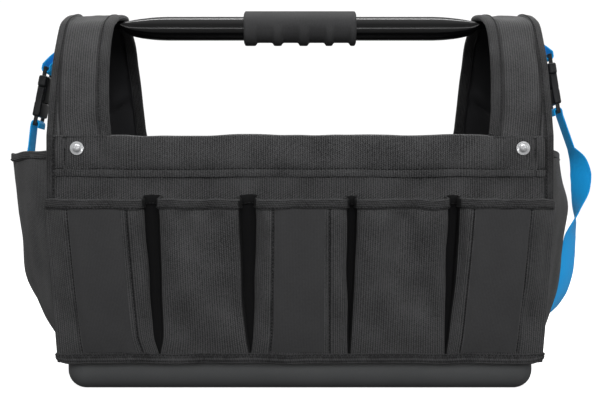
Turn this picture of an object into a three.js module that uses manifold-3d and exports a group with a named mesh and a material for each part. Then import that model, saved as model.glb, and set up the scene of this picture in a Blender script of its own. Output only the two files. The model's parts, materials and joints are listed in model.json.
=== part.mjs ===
// Open top tool tote: a moulded base tray, a cloth body with two arched ends, a steel carrying tube with
// a moulded grip, five pleated front pockets, an end pocket and a buckled webbing strap at each end.
// Millimetres, +Z up, -Y is the front. The origin is the centre of the tray's flat underside. END -1 is
// the left end seen from the front and END 1 the right one. FACE -1 is the front, FACE 1 the back.
import * as THREE from 'three';
import Module from 'manifold-3d';
import { mergeVertices } from 'three/addons/utils/BufferGeometryUtils.js';

const wasm = await Module();
wasm.setup();

// Fits
const FIT = 0.3;

// Moulded base tray
const TRAY_LENGTH = 452;
const TRAY_DEPTH = 226;
const TRAY_HEIGHT = 27;
const TRAY_UPSTAND = 12;
const TRAY_WALL = 3;
const TRAY_FILLET = 20;
const TRAY_CORNER = 18;

// Cloth body
const BODY_LENGTH = 480;
const BODY_DEPTH = 240;
const RIM_HEIGHT = 244;
const ARCH_RISE = 135;
const CLOTH = 2.5;
const LINING = 1.2;
const TAPE = 1.5;
const HEM_HEIGHT = 9.7;
const RIM_BAND_HEIGHT = 38.5;
const RIM_BAND_INSIDE = 14;
const ARCH_BAND_WIDTH = 56.5;
const ARCH_BINDING_WIDTH = 10.6;
const BINDING_PROUD = 1.1;
const PIPING_WIDTH = 7;

// Rivets
const RIVET_HEAD = 13;
const RIVET_SHANK = 5;
const RIVET_DOME = 3.4;
const HANDLE_RIVET_DOME = 1;
const RIVET_FLANGE = 1;
const RIVET_FLANGE_SHARE = 0.8;
const RIVET_INSET = 28;
const RIVET_DROP = 12;

// Front pockets
const POCKET_TOP = 184;
const POCKET_DEPTH = 23;
const POCKET_CLOTH = 2;
const POCKET_BINDING = 10;
const POCKET_SEW_DEPTH = 4.7;
const POCKET_PEAK = 8;
const PATCH_CLOTH = 1;

// End pockets
const SIDE_POCKET_DROP = 13;
const SIDE_POCKET_REACH_LEFT = 61;
const SIDE_POCKET_REACH_RIGHT = 38;
const SIDE_BINDING = 8.5;

// Handle
const TUBE_DIAMETER = 25.5;
const TUBE_CRIMP_LENGTH = 52;
const TUBE_FLAT_THICKNESS = 5;
const TUBE_FLAT_WIDTH = 35;
const TUBE_DROP = 11.5;
const TUBE_FLAT_POWER = 0.45;
const GRIP_LENGTH = 120.5;
const GRIP_DIAMETER = 37;
const GRIP_FINGER_DEPTH = 3.3;
const GRIP_END_ROUND = 3;
const GRIP_END_FACE = 0.1;

// Straps and buckles
const WEBBING_WIDTH = 25;
const WEBBING = 1.6;
const STRAP_REACH_LEFT = 50;
const STRAP_REACH_RIGHT = 62;
const BUCKLE_LENGTH = 64;
const BUCKLE_WIDTH = 33;
const BUCKLE_THICKNESS = 10;
const BUCKLE_BAR = 4;
const BUCKLE_SLOT = 6;

// Sizes worked out from the ones above
const HEM_TOP = TRAY_HEIGHT + FIT + HEM_HEIGHT;
const TRAY_TOP = TRAY_HEIGHT + TRAY_UPSTAND;
const ARCH_TOP = RIM_HEIGHT + ARCH_RISE;
const FOOT_BOTTOM = RIM_HEIGHT - RIM_BAND_HEIGHT;
const SIDE_POCKET_TOP = RIM_HEIGHT - SIDE_POCKET_DROP;
const WALL_BOTTOM = TRAY_HEIGHT + FIT;
const BOTTOM_HALF_LENGTH = TRAY_LENGTH / 2 + FIT + CLOTH;
const BOTTOM_HALF_DEPTH = TRAY_DEPTH / 2 + FIT + CLOTH;
const SEAM_PROUD = FIT + TAPE;
const ARCH_STEPS = 28;

// Half of the arch's outline: the share of half the body's depth in from the face, and of the arch's rise.
const ARCH_OUTLINE = [
  { inward: 0.1, rise: 0.3 },
  { inward: 0.2, rise: 0.54 },
  { inward: 0.31, rise: 0.7 },
  { inward: 0.43, rise: 0.84 },
  { inward: 0.57, rise: 0.91 },
  { inward: 0.77, rise: 0.97 },
];

// Seams between the front pockets: place as a share of the body's length from its middle, the width of
// the open pleat at the top as a share of the pocket depth, and how far the seam's top rises, as a share
// of POCKET_PEAK.
const POCKET_SEAMS = [
  { place: -0.293, pleat: 0.6, peak: 1 },
  { place: -0.102, pleat: 0.64, peak: 1 },
  { place: 0.102, pleat: 0.34, peak: 0.5 },
  { place: 0.302, pleat: 0.42, peak: 0.5 },
];

// The five front pockets: where the face is creased or the patch's edges lie, as shares of the face's
// width, how far the face stands out at its outer edges as a share of its depth, and whether it carries a
// smooth patch.
const FRONT_POCKETS = [
  { creaseLeft: 0.25, creaseRight: 0.83, edgeLeft: 0.25, edgeRight: 0.84, dent: 0, patch: true },
  { creaseLeft: 0.3, creaseRight: 0.72, edgeLeft: 0.8, edgeRight: 0.8, dent: 0.16, patch: false },
  { creaseLeft: 0.195, creaseRight: 0.8, edgeLeft: 0.86, edgeRight: 0.86, dent: 0, patch: true },
  { creaseLeft: 0.3, creaseRight: 0.75, edgeLeft: 0.84, edgeRight: 0.84, dent: 0.1, patch: false },
  { creaseLeft: 0.145, creaseRight: 0.73, edgeLeft: 0.84, edgeRight: 0.2, dent: 0, patch: true },
];

// Where the face turns between its outer edge and its crease, as a share of the way.
const POCKET_SHOULDER = 0.4;

// How a front pocket opens from its hem to its mouth: the share of the height between them, the share of
// the full depth and of the open pleat.
const POCKET_OPENING = [
  { height: 0, depth: 0, pleat: 0.06 },
  { height: 0.2, depth: 0.34, pleat: 0.26 },
  { height: 0.42, depth: 0.6, pleat: 0.46 },
  { height: 0.66, depth: 0.82, pleat: 0.7 },
  { height: 1, depth: 1, pleat: 1 },
];

// End pocket sections: the share of the height from the hem to the mouth, and of each pocket's reach.
const SIDE_SECTIONS = [
  { height: 0.16, left: 0.62, right: 0.7 },
  { height: 0.36, left: 0.83, right: 0.87 },
  { height: 0.55, left: 0.86, right: 0.95 },
  { height: 0.71, left: 0.88, right: 1 },
  { height: 0.85, left: 0.94, right: 0.75 },
  { height: 1, left: 1, right: 0.64 },
];
const SIDE_ACROSS = [-1, -0.93, -0.8, -0.6, -0.35, 0, 0.35, 0.6, 0.8, 0.93, 1];
const SIDE_FULLNESS = 2.4;

// The crimped end of the tube: the share of the crimp's length out from the round tube, the share of the
// change from round to flat, and the share of the rise of its middle line.
const CRIMP = [
  { along: 0, flat: 0, lift: 0 },
  { along: 0.2, flat: 0.04, lift: 0 },
  { along: 0.4, flat: 0.15, lift: 0.02 },
  { along: 0.6, flat: 0.32, lift: 0.06 },
  { along: 0.8, flat: 0.64, lift: 0.06 },
  { along: 1, flat: 1, lift: 1 },
];

// The domed head of a rivet: shares of the head's radius and of the dome's height.
const RIVET_HEAD_PROFILE = [
  { radius: 0.84, rise: 0 },
  { radius: 0.78, rise: 0.45 },
  { radius: 0.45, rise: 0.86 },
  { radius: 0, rise: 1 },
];

// Finger recesses under the grip: middle of each, as a share of the grip's length from its middle.
const FINGERS = [-0.315, -0.085, 0.15, 0.37];
const FINGER_LENGTH = 0.15;
const FINGER_SLOPE = 0.016;

// Each end's buckle: how far its middle stands off the end, its height as a share of the arch's top, and
// its lean in degrees.
const BUCKLES = {
  left: { off: 36, height: 0.775, lean: 11 },
  right: { off: 30, height: 0.81, lean: 9 },
};

// The loop above a buckle, as shares of the way out and down from its seam to the buckle's bar.
const LOOP_RUN = [
  { out: 0, outerFall: 0, innerFall: 0 },
  { out: 0.03, outerFall: 0.28, innerFall: 0.42 },
  { out: 0.3, outerFall: 0.56, innerFall: 0.68 },
  { out: 0.63, outerFall: 0.74, innerFall: 0.8 },
];

// Straps below the buckle: how far out from the end as a share of the strap's reach, the height as a
// share of the arch's top, and the twist in degrees, positive where the front edge turns in towards the
// body.
const STRAP_LEFT = [
  { out: 0.97, height: 0.635, twist: 0 },
  { out: 1, height: 0.6, twist: -2 },
  { out: 0.98, height: 0.55, twist: -2 },
  { out: 0.908, height: 0.47, twist: 0 },
  { out: 0.714, height: 0.385, twist: 0 },
  { out: 0.43, height: 0.32, twist: 0 },
  { out: 0.208, height: 0.285, twist: 0 },
];

// The height where the left strap meets the end panel, as a share of the arch's top.
const STRAP_LEFT_SEWN = 0.24;

const STRAP_RIGHT = [
  { out: 0.83, height: 0.63, twist: 0 },
  { out: 0.95, height: 0.595, twist: -28 },
  { out: 1, height: 0.555, twist: -46 },
  { out: 0.99, height: 0.51, twist: -34 },
  { out: 0.944, height: 0.465, twist: -6 },
  { out: 0.927, height: 0.425, twist: 20 },
  { out: 0.866, height: 0.38, twist: 42 },
  { out: 0.844, height: 0.33, twist: 50 },
  { out: 0.835, height: 0.28, twist: 50 },
  { out: 0.774, height: 0.225, twist: 42 },
  { out: 0.644, height: 0.175, twist: 20 },
  { out: 0.365, height: 0.13, twist: 2 },
];

// Helpers for closed solids

// A closed mesh from corner points and triangles that all wind one way. It turns them if they wind inwards.
function closedGeometry(points, triangles) {
  let volume = 0;
  for (const [a, b, c] of triangles) {
    volume += points[a].dot(new THREE.Vector3().crossVectors(points[b], points[c]));
  }
  const index = triangles.flatMap(([a, b, c]) => (volume > 0 ? [a, b, c] : [a, c, b]));
  const geometry = new THREE.BufferGeometry().setFromPoints(points);
  geometry.setIndex(index);
  return geometry;
}

// A cloth wall: a grid of points on its outside and a grid on its inside, joined round every open edge.
// keep(i, j) leaves out the cells that the wall doesn't have.
function clothWall(columns, rows, outside, inside, keep = () => true) {
  const points = [];
  const place = new Map();
  const corner = (i, j, side) => {
    const key = `${i},${j},${side}`;
    if (!place.has(key)) {
      place.set(key, points.length);
      points.push(side ? inside(i, j) : outside(i, j));
    }
    return place.get(key);
  };
  const triangles = [];
  const edges = new Map();
  for (let i = 0; i < columns - 1; i += 1) {
    for (let j = 0; j < rows - 1; j += 1) {
      if (!keep(i, j)) continue;
      const cell = [[i, j], [i + 1, j], [i + 1, j + 1], [i, j + 1]];
      const [a, b, c, d] = cell.map(([x, y]) => corner(x, y, 0));
      const [e, f, g, h] = cell.map(([x, y]) => corner(x, y, 1));
      triangles.push([a, b, c], [a, c, d], [e, g, f], [e, h, g]);
      for (const [p, q, r, s] of [[a, b, e, f], [b, c, f, g], [c, d, g, h], [d, a, h, e]]) {
        edges.set(`${p},${q}`, [p, q, r, s]);
      }
    }
  }
  for (const [p, q, r, s] of edges.values()) {
    if (!edges.has(`${q},${p}`)) triangles.push([q, p, r], [q, r, s]);
  }
  return closedGeometry(points, triangles);
}

// Triangles that fill an outline of 2-D points, wound as the outline is.
function fill(outline) {
  const turn = Math.sign(THREE.ShapeUtils.area(outline));
  return THREE.ShapeUtils.triangulateShape(outline, []).map(([a, b, c]) => {
    const way = Math.sign(THREE.ShapeUtils.area([outline[a], outline[b], outline[c]]));
    return way === turn ? [a, b, c] : [a, c, b];
  });
}

// A solid through rings of equally many points. ends is the 2-D outline that closes both ends, or null
// where the last ring joins the first.
function loft(rings, ends) {
  const count = rings[0].length;
  const points = rings.flat();
  const triangles = [];
  const last = ends ? rings.length - 1 : rings.length;
  for (let k = 0; k < last; k += 1) {
    const near = k * count;
    const far = ((k + 1) % rings.length) * count;
    for (let i = 0; i < count; i += 1) {
      const next = (i + 1) % count;
      triangles.push([near + i, near + next, far + next], [near + i, far + next, far + i]);
    }
  }
  if (ends) {
    const base = (rings.length - 1) * count;
    for (const [a, b, c] of fill(ends)) {
      triangles.push([a, c, b], [base + a, base + b, base + c]);
    }
  }
  return closedGeometry(points, triangles);
}

function toManifold(geometry) {
  const plain = geometry.clone();
  plain.deleteAttribute('normal');
  plain.deleteAttribute('uv');
  const merged = mergeVertices(plain, 1e-4);
  return new wasm.Manifold(new wasm.Mesh({
    numProp: 3,
    vertProperties: new Float32Array(merged.attributes.position.array),
    triVerts: new Uint32Array(merged.index.array),
  }));
}

function fromManifold(solid) {
  const made = solid.getMesh();
  const geometry = new THREE.BufferGeometry();
  geometry.setAttribute('position', new THREE.BufferAttribute(new Float32Array(made.vertProperties), 3));
  geometry.setIndex(new THREE.BufferAttribute(new Uint32Array(made.triVerts), 1));
  return geometry;
}

function cut(geometry, tools) {
  const cut = tools.reduce((solid, tool) => solid.subtract(toManifold(tool)), toManifold(geometry));
  return fromManifold(cut);
}

function join(first, second) {
  return fromManifold(toManifold(first).add(toManifold(second)));
}

function point(x, y, z) {
  return new THREE.Vector3(x, y, z);
}

// Reads one column of a table at a share of its first column, straight between its rows.
function readTable(table, key, column, share) {
  const after = table.findIndex((row) => row[key] >= share);
  if (after === 0) return table[0][column];
  if (after < 0) return table[table.length - 1][column];
  const low = table[after - 1];
  const high = table[after];
  return low[column] + ((high[column] - low[column]) * (share - low[key])) / (high[key] - low[key]);
}

// The body's outside: its ends and faces lean out from the tray to the top of the front pockets.
function lean(height) {
  return THREE.MathUtils.clamp((height - TRAY_HEIGHT) / (POCKET_TOP - TRAY_HEIGHT), 0, 1);
}

function halfLength(height) {
  return THREE.MathUtils.lerp(BOTTOM_HALF_LENGTH, BODY_LENGTH / 2, lean(height));
}

function halfDepth(height) {
  return THREE.MathUtils.lerp(BOTTOM_HALF_DEPTH, BODY_DEPTH / 2, lean(height));
}

// The arch's outline from the front rim over the top to the back rim, as places along Y and Z with the
// outward direction at each, an even number of steps so that one place is the top.
function archOutline() {
  const half = BODY_DEPTH / 2;
  const shares = [{ inward: 0, rise: 0 }, ...ARCH_OUTLINE];
  const rising = shares.map((row) => point(0, -half * (1 - row.inward), RIM_HEIGHT + row.rise * ARCH_RISE));
  const falling = rising.map((p) => point(0, -p.y, p.z)).reverse();
  const path = [...rising, point(0, 0, ARCH_TOP), ...falling];
  const places = new THREE.CatmullRomCurve3(path, false, 'centripetal').getSpacedPoints(ARCH_STEPS);
  return places.map((p, k) => {
    const before = places[Math.max(k - 1, 0)];
    const after = places[Math.min(k + 1, ARCH_STEPS)];
    const out = point(0, before.z - after.z, after.y - before.y).normalize();
    if (k === 0) out.set(0, -1, 0);
    if (k === ARCH_STEPS) out.set(0, 1, 0);
    return { y: p.y, z: p.z, out };
  });
}
const ARCH = archOutline();

// The whole edge outline of an end: down the faces below the rim as well, from a named lowest height.
function edgeOutline(bottom) {
  const heights = [bottom, POCKET_TOP, FOOT_BOTTOM].filter((z) => z >= bottom);
  const front = heights.map((z) => ({ y: -halfDepth(z), z, out: point(0, -1, 0) }));
  const back = heights.map((z) => ({ y: halfDepth(z), z, out: point(0, 1, 0) })).reverse();
  return [...front, ...ARCH, ...back];
}

// A place at a distance outside an edge outline; a negative distance lies inside it.
function offEdge(place, distance) {
  return { y: place.y + place.out.y * distance, z: place.z + place.out.z * distance };
}

// Moulded base tray: a dish with rounded lower edges and an upstand that the cloth is sewn round.
function trayRing(inset, height) {
  const length = TRAY_LENGTH / 2 - inset;
  const depth = TRAY_DEPTH / 2 - inset;
  const radius = Math.max(TRAY_CORNER - inset, TRAY_WALL);
  const ring = [];
  const steps = 5;
  const corners = [[1, 1, 0], [-1, 1, 1], [-1, -1, 2], [1, -1, 3]];
  for (const [x, y, quarter] of corners) {
    for (let k = 0; k <= steps; k += 1) {
      const angle = (quarter + k / steps) * (Math.PI / 2);
      ring.push(point(
        x * (length - radius) + radius * Math.cos(angle),
        y * (depth - radius) + radius * Math.sin(angle),
        height,
      ));
    }
  }
  return ring;
}

function baseTray() {
  const rings = [];
  const steps = 4;
  for (let k = 0; k <= steps; k += 1) {
    const angle = (k / steps) * (Math.PI / 2);
    rings.push(trayRing(TRAY_FILLET * (1 - Math.sin(angle)), TRAY_FILLET * (1 - Math.cos(angle))));
  }
  rings.push(trayRing(0, TRAY_TOP), trayRing(TRAY_WALL, TRAY_TOP));
  const inner = TRAY_FILLET - TRAY_WALL;
  for (let k = steps; k >= 0; k -= 1) {
    const angle = (k / steps) * (Math.PI / 2);
    const inset = TRAY_WALL + inner * (1 - Math.sin(angle));
    rings.push(trayRing(inset, TRAY_WALL + inner * (1 - Math.cos(angle))));
  }
  const outline = rings[0].map((p) => new THREE.Vector2(p.x, p.y));
  return loft(rings, outline);
}

// Tape round the bottom of the cloth, outside the pockets' lower edges.
function hemRing(grow, height) {
  const length = halfLength(height) + FIT + POCKET_CLOTH + FIT + grow;
  const front = halfDepth(height) + POCKET_SEW_DEPTH + FIT + grow;
  const back = halfDepth(height) + FIT + grow;
  const radius = TAPE + grow;
  const ring = [];
  const steps = 3;
  const corners = [[1, back, 0], [-1, back, 1], [-1, -front, 2], [1, -front, 3]];
  for (const [side, y, quarter] of corners) {
    for (let k = 0; k <= steps; k += 1) {
      const angle = (quarter + k / steps) * (Math.PI / 2);
      ring.push(point(
        side * (length - radius) + radius * Math.cos(angle),
        y - Math.sign(y) * radius + radius * Math.sin(angle),
        height,
      ));
    }
  }
  return ring;
}

function baseHem() {
  return loft([
    hemRing(0, WALL_BOTTOM),
    hemRing(TAPE, WALL_BOTTOM),
    hemRing(TAPE, HEM_TOP),
    hemRing(0, HEM_TOP),
  ], null);
}

// Front and back wall, cut away at the top corners where the arch bands' feet stand.
function wall(face) {
  const foot = ARCH_BAND_WIDTH + FIT;
  const insets = [0, foot, foot, 0];
  const sides = [-1, -1, 1, 1];
  const heights = [WALL_BOTTOM, POCKET_TOP, FOOT_BOTTOM - FIT, RIM_HEIGHT - TAPE - FIT];
  const place = (i, j, depth) => {
    const z = heights[j];
    return point(sides[i] * (halfLength(z) - insets[i]), face * (halfDepth(z) - depth), z);
  };
  const notch = (i, j) => j < 2 || i === 1;
  return clothWall(4, 4, (i, j) => place(i, j, 0), (i, j) => place(i, j, CLOTH), notch);
}

// A flat sheet with the arch's outline, inside the walls and the arch band.
function endSheet(end, inset, thickness, bottom) {
  const rim = ARCH.slice(1, ARCH_STEPS / 2);
  const edge = [bottom, POCKET_TOP, RIM_HEIGHT].map((z) => ({ y: -halfDepth(z) + CLOTH + FIT, z }));
  const rows = [...edge, ...rim.map((place) => offEdge(place, -CLOTH - FIT))];
  const across = [-1, -0.5, 0, 0.5, 1];
  const place = (i, j, depth) => {
    const { y, z } = rows[j];
    return point(end * (halfLength(z) - inset - depth), across[i] * -y, z);
  };
  return clothWall(across.length, rows.length, (i, j) => place(i, j, 0), (i, j) => place(i, j, thickness));
}

// Band over the arch, with a foot behind each rim band.
function archBand(end) {
  const foot = (face) => [FOOT_BOTTOM, RIM_HEIGHT].map((z) => (
    { y: face * halfDepth(z), z, out: point(0, face, 0) }
  ));
  const path = [...foot(-1), ...ARCH.slice(1, ARCH_STEPS), ...foot(1).reverse()];
  const insets = [0, ARCH_BAND_WIDTH - ARCH_BINDING_WIDTH - FIT, ARCH_BAND_WIDTH];
  const place = (i, j, depth) => {
    const { y, z } = offEdge(path[j], -depth);
    return point(end * (BODY_LENGTH / 2 - insets[i]), y, z);
  };
  const whole = (i, j) => i === 0 || j === 0 || j === path.length - 2;
  const band = clothWall(3, path.length, (i, j) => place(i, j, 0), (i, j) => place(i, j, CLOTH), whole);
  const holes = [-1, 1].map((face) => rivetHole(end, face));
  return cut(band, [...holes, handleRivetHole(end)]);
}

// Tape on the inner edge of the arch band, a little proud of it on both sides.
function archBinding(end) {
  const outer = BODY_LENGTH / 2 - ARCH_BAND_WIDTH + ARCH_BINDING_WIDTH;
  const inner = BODY_LENGTH / 2 - ARCH_BAND_WIDTH;
  const section = [
    new THREE.Vector2(outer, -CLOTH - BINDING_PROUD),
    new THREE.Vector2(outer, BINDING_PROUD),
    new THREE.Vector2(inner + BINDING_PROUD, BINDING_PROUD),
    new THREE.Vector2(inner, 0),
    new THREE.Vector2(inner, -CLOTH),
    new THREE.Vector2(inner + BINDING_PROUD, -CLOTH - BINDING_PROUD),
  ];
  const rings = ARCH.map((place, k) => section.map((s) => {
    const { y, z } = offEdge(place, s.y);
    const start = k === 0 || k === ARCH_STEPS;
    return point(end * s.x, y, start ? RIM_HEIGHT + FIT : z);
  }));
  return loft(rings, section);
}

// Tape folded over the seam between the end panel and the band or walls, as an angle that runs up, over
// and down.
function cornerPiping(end) {
  const section = [
    new THREE.Vector2(SEAM_PROUD, SEAM_PROUD),
    new THREE.Vector2(SEAM_PROUD - PIPING_WIDTH, SEAM_PROUD),
    new THREE.Vector2(SEAM_PROUD - PIPING_WIDTH, FIT),
    new THREE.Vector2(FIT, FIT),
    new THREE.Vector2(FIT, SEAM_PROUD - PIPING_WIDTH),
    new THREE.Vector2(SEAM_PROUD, SEAM_PROUD - PIPING_WIDTH),
  ];
  const rings = edgeOutline(HEM_TOP + FIT).map((place) => section.map((s) => {
    const { y, z } = offEdge(place, s.y);
    return point(end * (halfLength(place.z) + s.x), y, z);
  }));
  return loft(rings, section);
}

// Band folded over the rim: a strip outside the wall over its whole width, and a short strip inside it
// between the arches.
function rimBand(face) {
  const end = halfLength(RIM_HEIGHT) + SEAM_PROUD - PIPING_WIDTH - FIT;
  const middle = BODY_LENGTH / 2 - ARCH_BAND_WIDTH - FIT;
  const xs = [-end, -middle, 0, middle, end];
  const half = BODY_DEPTH / 2;
  const under = RIM_HEIGHT - TAPE;
  const rows = [
    { outer: [half + SEAM_PROUD, FOOT_BOTTOM], inner: [half + FIT, FOOT_BOTTOM] },
    { outer: [half + SEAM_PROUD, RIM_HEIGHT], inner: [half + FIT, under] },
    { outer: [half - CLOTH - SEAM_PROUD, RIM_HEIGHT], inner: [half - CLOTH - FIT, under] },
    {
      outer: [half - CLOTH - SEAM_PROUD, RIM_HEIGHT - RIM_BAND_INSIDE],
      inner: [half - CLOTH - FIT, RIM_HEIGHT - RIM_BAND_INSIDE],
    },
  ];
  const place = (i, j, side) => point(xs[i], face * rows[j][side][0], rows[j][side][1]);
  const folded = (i, j) => j === 0 || i === 1 || i === 2;
  const outer = (i, j) => place(i, j, 'outer');
  const inner = (i, j) => place(i, j, 'inner');
  const band = clothWall(xs.length, rows.length, outer, inner, folded);
  return cut(band, [-1, 1].map((side) => rivetHole(side, face)));
}

// Rivets. A rivet is turned about its axis: a domed head, a shank through the layers and a flange behind
// them.
function rivet(grip, dome) {
  const head = RIVET_HEAD / 2;
  const shank = RIVET_SHANK / 2;
  const flange = head * RIVET_FLANGE_SHARE;
  const seat = grip + FIT;
  const profile = [
    [0, -FIT - RIVET_FLANGE],
    [flange, -FIT - RIVET_FLANGE],
    [flange, -FIT],
    [shank, -FIT],
    [shank, seat],
    [head, seat],
    [head, seat + RIVET_FLANGE],
    ...RIVET_HEAD_PROFILE.map((row) => [head * row.radius, seat + RIVET_FLANGE + dome * row.rise]),
  ];
  return new THREE.LatheGeometry(profile.map(([r, y]) => new THREE.Vector2(r, y)), 12);
}

function hole(depth) {
  return new THREE.CylinderGeometry(RIVET_SHANK / 2 + FIT, RIVET_SHANK / 2 + FIT, depth, 12);
}

// The layers at a rim rivet, from the arch band's inside to the rim band's outside.
const RIM_GRIP = CLOTH + SEAM_PROUD;
const RIM_RIVET_X = BODY_LENGTH / 2 - RIVET_INSET;
const RIM_RIVET_Z = RIM_HEIGHT - RIVET_DROP;

function rimRivet(end, face) {
  const turned = rivet(RIM_GRIP, RIVET_DOME).rotateX(face < 0 ? Math.PI : 0);
  return turned.translate(end * RIM_RIVET_X, face * (BODY_DEPTH / 2 - CLOTH), RIM_RIVET_Z);
}

function rivetHole(end, face) {
  return hole(RIM_GRIP * 4).translate(end * RIM_RIVET_X, face * BODY_DEPTH / 2, RIM_RIVET_Z);
}

// Front pockets

function seamPlace(seam, height) {
  if (seam === 0 || seam === POCKET_SEAMS.length + 1) {
    return (seam === 0 ? -1 : 1) * (halfLength(height) + SEAM_PROUD);
  }
  return POCKET_SEAMS[seam - 1].place * 2 * halfLength(height);
}

function openShare(height, column) {
  return readTable(POCKET_OPENING, 'height', column, (height - HEM_TOP) / (POCKET_TOP - HEM_TOP));
}

function pleatHalf(seam, height) {
  const row = POCKET_SEAMS[seam - 1];
  return row ? row.pleat * POCKET_DEPTH * openShare(height, 'pleat') / 2 : 0;
}

function seamRise(seam, height) {
  const row = POCKET_SEAMS[seam - 1];
  const share = THREE.MathUtils.clamp((height - HEM_TOP) / (POCKET_TOP - HEM_TOP), 0, 1);
  return row ? row.peak * POCKET_PEAK * share ** 2 : 0;
}

// The columns across a pocket: its left seam, the face's left edge, points across the face, its right
// edge and its right seam.
function pocketColumns(pocket) {
  const { creaseLeft, creaseRight, edgeLeft, edgeRight, dent } = FRONT_POCKETS[pocket];
  const nearLeft = creaseLeft * POCKET_SHOULDER;
  const nearRight = 1 - (1 - creaseRight) * POCKET_SHOULDER;
  return [
    { seam: pocket },
    { across: 0, out: edgeLeft },
    { across: nearLeft, out: (edgeLeft + 1) / 2 },
    { across: creaseLeft, out: 1 - dent / 2 },
    { across: (creaseLeft + creaseRight) / 2, out: 1 - dent },
    { across: creaseRight, out: 1 },
    { across: nearRight, out: (edgeRight + 1) / 2 },
    { across: 1, out: edgeRight },
    { seam: pocket + 1 },
  ];
}

// A point of a pocket's cloth: proud is how far it lies outside the pocket's outer surface.
function pocketPoint(pocket, column, height, proud) {
  const left = column.seam === pocket || column.across < 0.5;
  const inner = proud < 0 ? -proud : 0;
  const grow = Math.max(proud, 0);
  if (column.seam !== undefined) {
    const corner = column.seam === 0 || column.seam === POCKET_SEAMS.length + 1;
    const base = corner ? SEAM_PROUD + FIT : FIT;
    const towards = left ? 1 : -1;
    const gap = corner ? 0 : FIT / 2;
    const x = seamPlace(column.seam, height) + towards * (gap + inner);
    return point(x, -halfDepth(height) - base, height + seamRise(column.seam, height));
  }
  const start = seamPlace(pocket, height) + pleatHalf(pocket, height) + FIT / 2;
  const end = seamPlace(pocket + 1, height) - pleatHalf(pocket + 1, height) - FIT / 2;
  const open = openShare(height, 'depth');
  const full = POCKET_DEPTH * open + POCKET_SEW_DEPTH * (1 - open);
  const out = POCKET_SEW_DEPTH + (full - POCKET_SEW_DEPTH) * column.out;
  const edge = column.across === 0 || column.across === 1;
  const shift = edge ? (left ? 1 : -1) * (inner - grow) : 0;
  const x = THREE.MathUtils.lerp(start, end, column.across) + shift;
  return point(x, -halfDepth(height) - out - proud, height);
}

// The cloth wall of a pocket between two distances outside its outer surface. At a seam it is never
// thicker than the pocket's own cloth.
function pocketWall(pocket, columns, heights, outside, inside) {
  const place = (i, j, proud) => {
    const held = columns[i].seam === undefined ? proud : THREE.MathUtils.clamp(proud, -POCKET_CLOTH, 0);
    return pocketPoint(pocket, columns[i], heights[j], held);
  };
  const outer = (i, j) => place(i, j, outside);
  const inner = (i, j) => place(i, j, inside);
  return clothWall(columns.length, heights.length, outer, inner);
}

const POCKET_CLOTH_TOP = POCKET_TOP - POCKET_BINDING - 2 * FIT;

function pocketHeights(bottom) {
  const rows = POCKET_OPENING.map((row) => THREE.MathUtils.lerp(HEM_TOP, POCKET_TOP, row.height));
  const between = rows.filter((z) => z > bottom + FIT && z < POCKET_CLOTH_TOP);
  return [bottom, ...between, POCKET_CLOTH_TOP];
}

function frontPocket(pocket) {
  const heights = pocketHeights(WALL_BOTTOM);
  return pocketWall(pocket, pocketColumns(pocket), heights, 0, -POCKET_CLOTH);
}

function frontPocketBinding(pocket) {
  const proud = TAPE / 2;
  const heights = [POCKET_TOP - POCKET_BINDING, POCKET_TOP];
  return pocketWall(pocket, pocketColumns(pocket), heights, proud, -POCKET_CLOTH - proud);
}

function pocketPatch(pocket) {
  const columns = pocketColumns(pocket).slice(3, 6);
  const heights = pocketHeights(HEM_TOP + FIT);
  return pocketWall(pocket, columns, heights, FIT + PATCH_CLOTH, FIT);
}

// End pockets

function sidePocketHalf(height) {
  return halfDepth(height) + SEAM_PROUD - PIPING_WIDTH - FIT;
}

function sidePocketReach(end, height) {
  const reach = end < 0 ? SIDE_POCKET_REACH_LEFT : SIDE_POCKET_REACH_RIGHT;
  const share = (height - HEM_TOP) / (SIDE_POCKET_TOP - HEM_TOP);
  const rows = [{ height: 0, left: 0, right: 0 }, ...SIDE_SECTIONS];
  return reach * readTable(rows, 'height', end < 0 ? 'left' : 'right', Math.max(share, 0));
}

function sidePocketPoint(end, across, height, proud) {
  const swell = 1 - Math.abs(across) ** SIDE_FULLNESS;
  const outer = halfLength(height) + FIT + POCKET_CLOTH + sidePocketReach(end, height) * swell;
  return point(end * (outer + proud), across * sidePocketHalf(height), height);
}

function sidePocketWall(end, heights, outside, inside) {
  return clothWall(
    SIDE_ACROSS.length,
    heights.length,
    (i, j) => sidePocketPoint(end, SIDE_ACROSS[i], heights[j], outside),
    (i, j) => sidePocketPoint(end, SIDE_ACROSS[i], heights[j], inside),
  );
}

function sidePocket(end) {
  const rows = SIDE_SECTIONS.map((row) => THREE.MathUtils.lerp(HEM_TOP, SIDE_POCKET_TOP, row.height));
  const top = SIDE_POCKET_TOP - SIDE_BINDING - FIT;
  const between = [...rows, POCKET_TOP].filter((z) => z < top - FIT).sort((a, b) => a - b);
  return sidePocketWall(end, [WALL_BOTTOM, HEM_TOP, ...between, top], 0, -POCKET_CLOTH);
}

function sidePocketBinding(end) {
  return sidePocketWall(end, [SIDE_POCKET_TOP - SIDE_BINDING, SIDE_POCKET_TOP], TAPE / 2, -POCKET_CLOTH);
}

// Handle: a round tube whose crimped flat ends lie under the tops of the arch bands.

const TUBE_MIDDLE = ARCH_TOP - TUBE_DROP;
const TUBE_END = BODY_LENGTH / 2 - CLOTH - FIT - LINING - FIT;
const TUBE_FLAT_START = BODY_LENGTH / 2 - ARCH_BAND_WIDTH + ARCH_BINDING_WIDTH;
const TUBE_ROUND_END = TUBE_FLAT_START - TUBE_CRIMP_LENGTH;

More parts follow.
